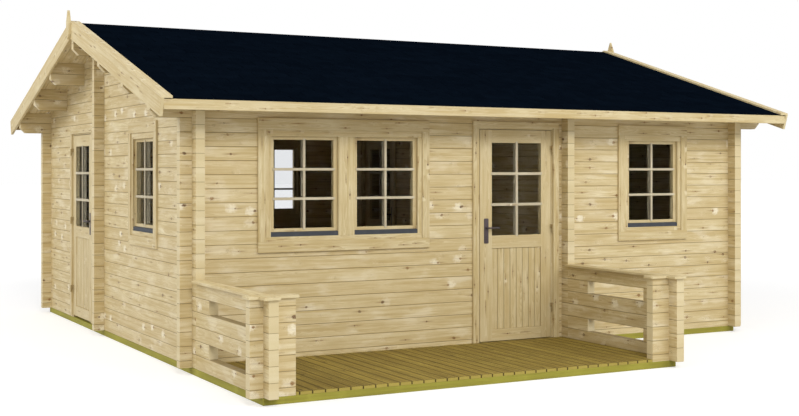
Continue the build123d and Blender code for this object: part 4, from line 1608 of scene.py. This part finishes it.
@dataclass
class Doors:
    """The doors: frame with casing, a leaf of stiles and rails with glass over boards, handles and hinges."""

    wall: float = 75 * MM
    leaf_width: float = 775 * MM
    leaf_height: float = 1915 * MM
    leaf: float = 40 * MM
    gap: float = 5 * MM
    jamb: float = 35 * MM
    stop: float = 15 * MM
    threshold: float = 22 * MM
    casing: float = 20 * MM
    casing_side: float = 75 * MM
    casing_top: float = 70 * MM
    reveal: float = 13 * MM
    stile: float = 128 * MM
    hinge_stile: float = 112 * MM
    bottom_rail: float = 105 * MM
    panel_height: float = 735 * MM
    lock_rail: float = 116 * MM
    top_rail: float = 118 * MM
    recess: float = 8 * MM
    panel_boards: int = 8
    panel_edge: float = 5 * MM
    bar: float = 25 * MM
    bar_lap: float = 12 * MM
    bar_cover: float = 4 * MM
    glass: float = 6 * MM
    glass_setback: float = 2 * MM
    edge: float = 1.5 * MM
    dice: random.Random = field(default_factory=lambda: random.Random(83))

    def build(self) -> None:
        """Makes every door."""
        frames = Workpiece("door_frames_cased", Stock.TRIM)
        for body, opening in self.openings().items():
            self.frame(frames, opening)
            leaf = Workpiece(f"{body.value}_joinery", Stock.JOINERY, body)
            panel = Workpiece(f"{body.value}_panel", Stock.PANEL, body)
            bars = Workpiece(f"{body.value}_bars", Stock.BARS, body)
            self.leaf_parts(leaf, panel, bars, opening)
            leaf.finish(f"{body.value}_leaf")
            panel.finish()
            bars.finish()
            dress(f"{body.value}_glass", Stock.GLASS)
            Handles(self, body).build(opening)
            Hinges(body).build()
        frames.finish("door_frames")
        dress("hinge_sockets", Stock.HINGES)

    def openings(self) -> dict[Body, Opening]:
        """Each door's place, read from its leaf.

        Returns:
            The place of each door.
        """
        places = {}
        for body, turn, mirrored in ((Body.FRONT_DOOR, 0, False), (Body.STORE_DOOR, -90, True),
                                     (Body.ROOM_DOOR, 90, False)):
            low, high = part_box(f"{body.value}_leaf")
            middle = (low + high) / 2
            across, face = (middle.x, low.y) if turn == 0 else (middle.y, high.x if turn > 0 else low.x)
            places[body] = Opening(across, face, turn, mirrored)
        return places

    def frame(self, work: Workpiece, opening: Opening) -> None:
        """Jambs, head, stops, threshold and the casing on both faces.

        Args:
            work: The piece that takes the boards.
            opening: Where the door stands.
        """
        clear = self.leaf_width / 2 + self.gap
        sill, head = self.threshold, self.threshold + 2 * self.gap + self.leaf_height
        wide, inner, top = clear + self.casing_side, clear + self.reveal, head + self.casing_top
        stop, near, back = clear - self.stop, self.leaf + self.gap, self.wall
        boards = [
            ((-clear - self.jamb, 0, 0), (-clear, back, head), Axis.Z),
            ((clear, 0, 0), (clear + self.jamb, back, head), Axis.Z),
            ((-clear - self.jamb, 0, head), (clear + self.jamb, back, head + self.jamb), Axis.X),
            ((-clear, near, 0), (clear, back + self.casing, sill), Axis.X),
            ((-clear, near, sill), (-stop, back, head), Axis.Z),
            ((stop, near, sill), (clear, back, head), Axis.Z),
            ((-stop, near, head - self.stop), (stop, back, head), Axis.X),
        ]
        for y in (-self.casing, back):
            boards += [
                ((-wide, y, sill), (-inner, y + self.casing, head + self.reveal), Axis.Z),
                ((inner, y, sill), (wide, y + self.casing, head + self.reveal), Axis.Z),
                ((-wide, y, head + self.reveal), (wide, y + self.casing, top), Axis.X),
            ]
        work.take_planks(boards, opening.place, self.dice, self.edge)

    def leaf_parts(self, work: Workpiece, panel: Workpiece, bars: Workpiece, opening: Opening) -> None:
        """The stiles, rails, panel boards and bars of a leaf.

        Args:
            work: The piece that takes the stiles and rails.
            panel: The piece that takes the panel boards.
            bars: The piece that takes the bars.
            opening: Where the door stands.
        """
        half = self.leaf_width / 2
        left, right = self.stile - half, half - self.hinge_stile
        z0 = self.threshold + self.gap
        z1 = z0 + self.leaf_height
        panel_low = z0 + self.bottom_rail
        panel_high = panel_low + self.panel_height
        glass_low, glass_high = panel_high + self.lock_rail, z1 - self.top_rail
        boards = [
            ((-half, 0, z0), (left, self.leaf, z1), Axis.Z),
            ((right, 0, z0), (half, self.leaf, z1), Axis.Z),
            ((left, 0, z0), (right, self.leaf, panel_low), Axis.X),
            ((left, 0, panel_high), (right, self.leaf, glass_low), Axis.X),
            ((left, 0, glass_high), (right, self.leaf, z1), Axis.X),
        ]
        work.take_planks(boards, opening.place, self.dice, self.edge)
        pitch = (right - left) / self.panel_boards
        starts = [left + step * pitch for step in range(self.panel_boards)]
        boards = [((start, self.recess, panel_low),
                   (start + pitch, self.leaf - self.recess, panel_high), Axis.Z) for start in starts]
        panel.take_planks(boards, opening.place, self.dice, self.panel_edge)
        lattice(bars, opening.place, (left + right) / 2, (right - left) / 2, glass_low, glass_high, self.bar,
                self.bar_lap, [(-self.bar_cover, 0, True), (0, self.glass_setback, False),
                               (self.glass_setback + self.glass, self.leaf, False)], self.dice)


@dataclass
class Handles:
    """A lever handle on a long plate, on both faces of a leaf.

    The collar and the lock cylinder are given by radius and length. The grip narrows to its waist
    over the first share of its length, and keeps that thickness to its tip.
    """

    door: Doors
    body: Body
    from_edge: float = 66 * MM
    height: float = 1026 * MM
    plate: tuple[float, float, float] = (46 * MM, 6 * MM, 226 * MM)
    plate_corner: float = 9 * MM
    plate_rim: float = 1.5 * MM
    lever_up: float = 27 * MM
    lever_radius: float = 8.5 * MM
    lever_length: float = 122 * MM
    lever_tip: float = 3 * MM
    lever_waist: float = 0.92
    waist_share: float = 0.45
    reach: float = 48 * MM
    bend: float = 15 * MM
    rim: float = 1 * MM
    collar: tuple[float, float] = (13 * MM, 4 * MM)
    cylinder: tuple[float, float] = (8.5 * MM, 3 * MM)
    cylinder_down: float = 45 * MM
    stem_half: float = 4.5 * MM
    stem_down: tuple[float, float] = (22 * MM, 6 * MM)

    def build(self, opening: Opening) -> None:
        """Makes the handles on both faces of the leaf.

        Args:
            opening: Where the door stands.
        """
        work = Workpiece(f"{self.body.value}_handles", Stock.FITTINGS, self.body)
        inside = Matrix.Translation((0, self.door.leaf, 0)) @ Matrix.Diagonal((1, -1, 1, 1))
        for side in (Matrix.Identity(4), inside):
            for part in (self.plate_part(), self.lever(), *self.lock()):
                work.take(part, opening.place @ side)
        work.finish(f"{self.body.value}_fittings", smooth=True)

    @property
    def x(self) -> float:
        """The middle of the plate, across the leaf."""
        return self.from_edge - self.door.leaf_width / 2

    def plate_part(self) -> bmesh.types.BMesh:
        """The plate, with rounded corners and an eased rim.

        Returns:
            The plate.
        """
        width, depth, height = self.plate
        part = box((self.x - width / 2, -depth, self.height - height / 2),
                   (self.x + width / 2, 0, self.height + height / 2))
        through = [edge for edge in part.edges if abs(edge.verts[0].co.y - edge.verts[1].co.y) > depth / 2]
        bevelled(part, through, self.plate_corner, 5)
        rim = [edge for edge in part.edges if all(abs(vert.co.y + depth) < SAME_POINT for vert in edge.verts)]
        return bevelled(part, rim, self.plate_rim, 2)

    def round_bar(self, z: float, size: tuple[float, float]) -> bmesh.types.BMesh:
        """A short round bar that stands out of the plate, with an eased rim.

        Args:
            z: The height of its middle.
            size: Its radius and its length.

        Returns:
            The bar.
        """
        radius, length = size
        centre = (self.x, -self.plate[1] - length / 2, z)
        part = bmesh.new()
        bmesh.ops.create_cone(part, cap_ends=True, segments=24, radius1=radius, radius2=radius, depth=length,
                              matrix=Matrix.Translation(centre) @ Matrix.Rotation(math.pi / 2, 4, "X"))
        rim = [edge for edge in part.edges if abs(edge.verts[0].co.y - edge.verts[1].co.y) < SAME_POINT]
        return bevelled(part, rim, self.rim, 2)

    def lever(self) -> bmesh.types.BMesh:
        """The lever: a neck out of the plate, a bend and a grip towards the hinges.

        Returns:
            The lever.
        """
        z = self.height + self.lever_up
        start = -self.plate[1]
        line = -self.reach + self.lever_radius
        grip = self.lever_length - self.bend
        part = bmesh.new()
        bmesh.ops.create_circle(part, cap_ends=True, segments=20, radius=self.lever_radius,
                                matrix=Matrix.Translation((self.x, start, z))
                                @ Matrix.Rotation(math.pi / 2, 4, "X"))
        neck = bmesh.ops.extrude_face_region(part, geom=part.faces[:])["geom"]
        bmesh.ops.translate(part, vec=(0, line + self.bend - start, 0), verts=verts_in(neck))
        tip = faces_in(neck)
        turned = bmesh.ops.spin(part, geom=tip + list(tip[0].edges) + list(tip[0].verts),
                                cent=(self.x + self.bend, line + self.bend, z), axis=(0, 0, 1),
                                angle=math.pi / 2, steps=8, use_merge=False)["geom_last"]
        tip = faces_in(turned)
        for share, scale in ((self.waist_share, self.lever_waist), (1 - self.waist_share, 1.0)):
            grown = bmesh.ops.extrude_face_region(part, geom=tip)["geom"]
            verts = verts_in(grown)
            bmesh.ops.translate(part, vec=(share * grip, 0, 0), verts=verts)
            centre = sum((vert.co for vert in verts), Vector()) / len(verts)
            bmesh.ops.scale(part, vec=(1, scale, scale), verts=verts, space=Matrix.Translation(-centre))
            bmesh.ops.delete(part, geom=[face for face in tip if face.is_valid], context="FACES_ONLY")
            tip = faces_in(grown)
        bevelled(part, list(tip[0].edges), self.lever_tip, 3)
        bmesh.ops.recalc_face_normals(part, faces=part.faces)
        return part

    def lock(self) -> list[bmesh.types.BMesh]:
        """The collar round the lever's neck, and the lock cylinder under it.

        Returns:
            The collar, and the cylinder's round head and its stem.
        """
        face = -self.plate[1]
        middle = self.height - self.cylinder_down
        low, high = (middle - down for down in self.stem_down)
        stem = box((self.x - self.stem_half, face - self.cylinder[1], low),
                   (self.x + self.stem_half, face, high))
        return [self.round_bar(self.height + self.lever_up, self.collar),
                self.round_bar(middle, self.cylinder), eased(stem, self.rim)]


@dataclass
class Hinges:
    """The upper halves of a leaf's barrel hinges."""

    body: Body
    tallest: float = 50 * MM
    edge: float = 0.7 * MM

    def build(self) -> None:
        """Makes the hinge halves that swing with the leaf."""
        work = Workpiece(f"{self.body.value}_hinges", Stock.HINGES, self.body)
        for solid in islands(f"{self.body.value}_fittings"):
            low, high = corners(solid)
            if high.z - low.z < self.tallest:
                work.take(eased(solid, self.edge, 1))
            else:
                solid.free()
        work.finish(smooth=True)


@dataclass
class RoomFloors:
    """The floors of the rooms, tongued boards along the house."""

    pitch: float = 120 * MM
    joint: float = 0.8 * MM
    edge: float = 2 * MM
    dice: random.Random = field(default_factory=lambda: random.Random(97))

    def build(self) -> None:
        """Saws the floor sheets into boards."""
        work = Workpiece("room_floor_boards", Stock.FLOOR_BOARDS)
        for sheet in islands("house_floor"):
            low, high = corners(sheet)
            count = math.ceil((high.y - low.y) / self.pitch)
            for step in range(count):
                front = low.y + step * self.pitch
                part = sheet.copy()
                if step:
                    trimmed(part, (0, front + self.joint / 2, 0), (0, -1, 0))
                if step < count - 1:
                    trimmed(part, (0, front + self.pitch - self.joint / 2, 0), (0, 1, 0))
                work.take(grained(eased(part, self.edge, 1), Axis.X.value, Axis.Y.value, self.dice))
            sheet.free()
        work.finish("house_floor")


@dataclass(frozen=True)
class Lamp:
    """A large soft lamp: its place, what it points at, how wide it is and its power in watts."""

    name: str
    place: tuple[float, float, float]
    aim: tuple[float, float, float]
    size: float
    power: float

    def hang(self) -> None:
        """Hangs the lamp."""
        data = bpy.data.lights.new(self.name, "AREA")
        data.shape = "DISK"
        data.size = self.size
        data.energy = self.power
        lamp = bpy.data.objects.new(self.name, data)
        lamp.location = self.place
        lamp.rotation_euler = (Vector(self.aim) - Vector(self.place)).to_track_quat("-Z", "Y").to_euler()
        bpy.context.scene.collection.objects.link(lamp)


@dataclass
class Studio:
    """The pale floor, the white surroundings, the lamps and the camera."""

    camera_place: tuple[float, float, float] = (-6.121, -12.067, 1.635)
    camera_turn: float = math.radians(-28.2345)
    lens: float = 56.28
    sensor: float = 36.0
    shift: float = -0.04798
    sight: float = 300.0
    ambient: float = 0.6
    floor_size: float = 120.0
    floor_shades: tuple[str, str] = ("#DADADA", "#DEDEDE")
    floor_clouds: float = 0.4
    floor_lift: Span = (0.4, 0.62)
    floor_reach: Span = (5.0, 13.0)
    lamps: tuple[Lamp, ...] = (Lamp("key", (5.5, -12.5, 9.0), (0.8, -2.5, 1.0), 7.0, 560.0),
                               Lamp("front", (-7.0, -24.0, 15.0), (-1.0, -2.5, 1.0), 8.0, 2200.0),
                               Lamp("side", (-12.0, 1.0, 7.5), (-2.8, -0.5, 1.2), 7.0, 520.0))

    def build(self) -> None:
        """Sets the stage."""
        bpy.context.scene.view_settings.view_transform = "Standard"
        self.camera()
        self.world()
        self.floor()
        for lamp in self.lamps:
            lamp.hang()

    def camera(self) -> None:
        """The camera at the photograph's place, level, with the horizon shifted as it is there."""
        data = bpy.data.cameras.new("camera")
        data.lens = self.lens
        data.sensor_width = self.sensor
        data.shift_y = self.shift
        data.clip_end = self.sight
        camera = bpy.data.objects.new("camera", data)
        camera.location = self.camera_place
        camera.rotation_euler = (math.pi / 2, 0, self.camera_turn)
        bpy.context.scene.collection.objects.link(camera)
        bpy.context.scene.camera = camera

    def world(self) -> None:
        """White where it is seen, mirrored or looked at through glass, and a softer white as light."""
        world = bpy.data.worlds.new("studio")
        world.use_nodes = True
        world.node_tree.nodes.clear()
        bpy.context.scene.world = world
        add = Shader(world.node_tree).add
        strength = add(Kind.RANGE, seen_directly(add), 0, 1, self.ambient, 1.0)
        add(Kind.OUTPUT_WORLD, add(Kind.BACKGROUND, linear(WHITE), strength))

    def floor(self) -> None:
        """A pale floor, lifted to white where it is seen, and less near the cabin, whose shadow it keeps."""
        material, shader = new_shader("studio_floor")
        add = shader.add
        spot = add(Kind.COORDINATES).outputs["Object"]
        cloud = add(Kind.NOISE, spot, named={"Scale": self.floor_clouds, "Detail": 2.0})
        matt = add(Kind.DIFFUSE, add(Kind.MIX, cloud, *(linear(shade) for shade in self.floor_shades)))
        lift = add(Kind.SMOOTH_RANGE, add(Kind.LENGTH, spot), *self.floor_reach, *self.floor_lift)
        glow = add(Kind.EMISSION, linear(WHITE), add(Kind.MULTIPLY, seen_directly(add), lift))
        add(Kind.OUTPUT, add(Kind.ADD_SHADER, matt, glow))
        mesh = bpy.data.meshes.new("studio_floor")
        sheet = bmesh.new()
        bmesh.ops.create_grid(sheet, x_segments=1, y_segments=1, size=self.floor_size)
        sheet.to_mesh(mesh)
        sheet.free()
        mesh.materials.append(material)
        floor = bpy.data.objects.new("studio_floor", mesh)
        bpy.context.scene.collection.objects.link(floor)


def main() -> None:
    """Builds the studio and every part of the cabin."""
    logging.basicConfig(level=logging.INFO, format="%(name)s: %(message)s")
    Studio().build()
    for part in (LogWork(), Trim(), Caps(), Deck(), Roof(), Windows(), Doors(), RoomFloors()):
        part.build()


if __name__ == "__main__":
    main()
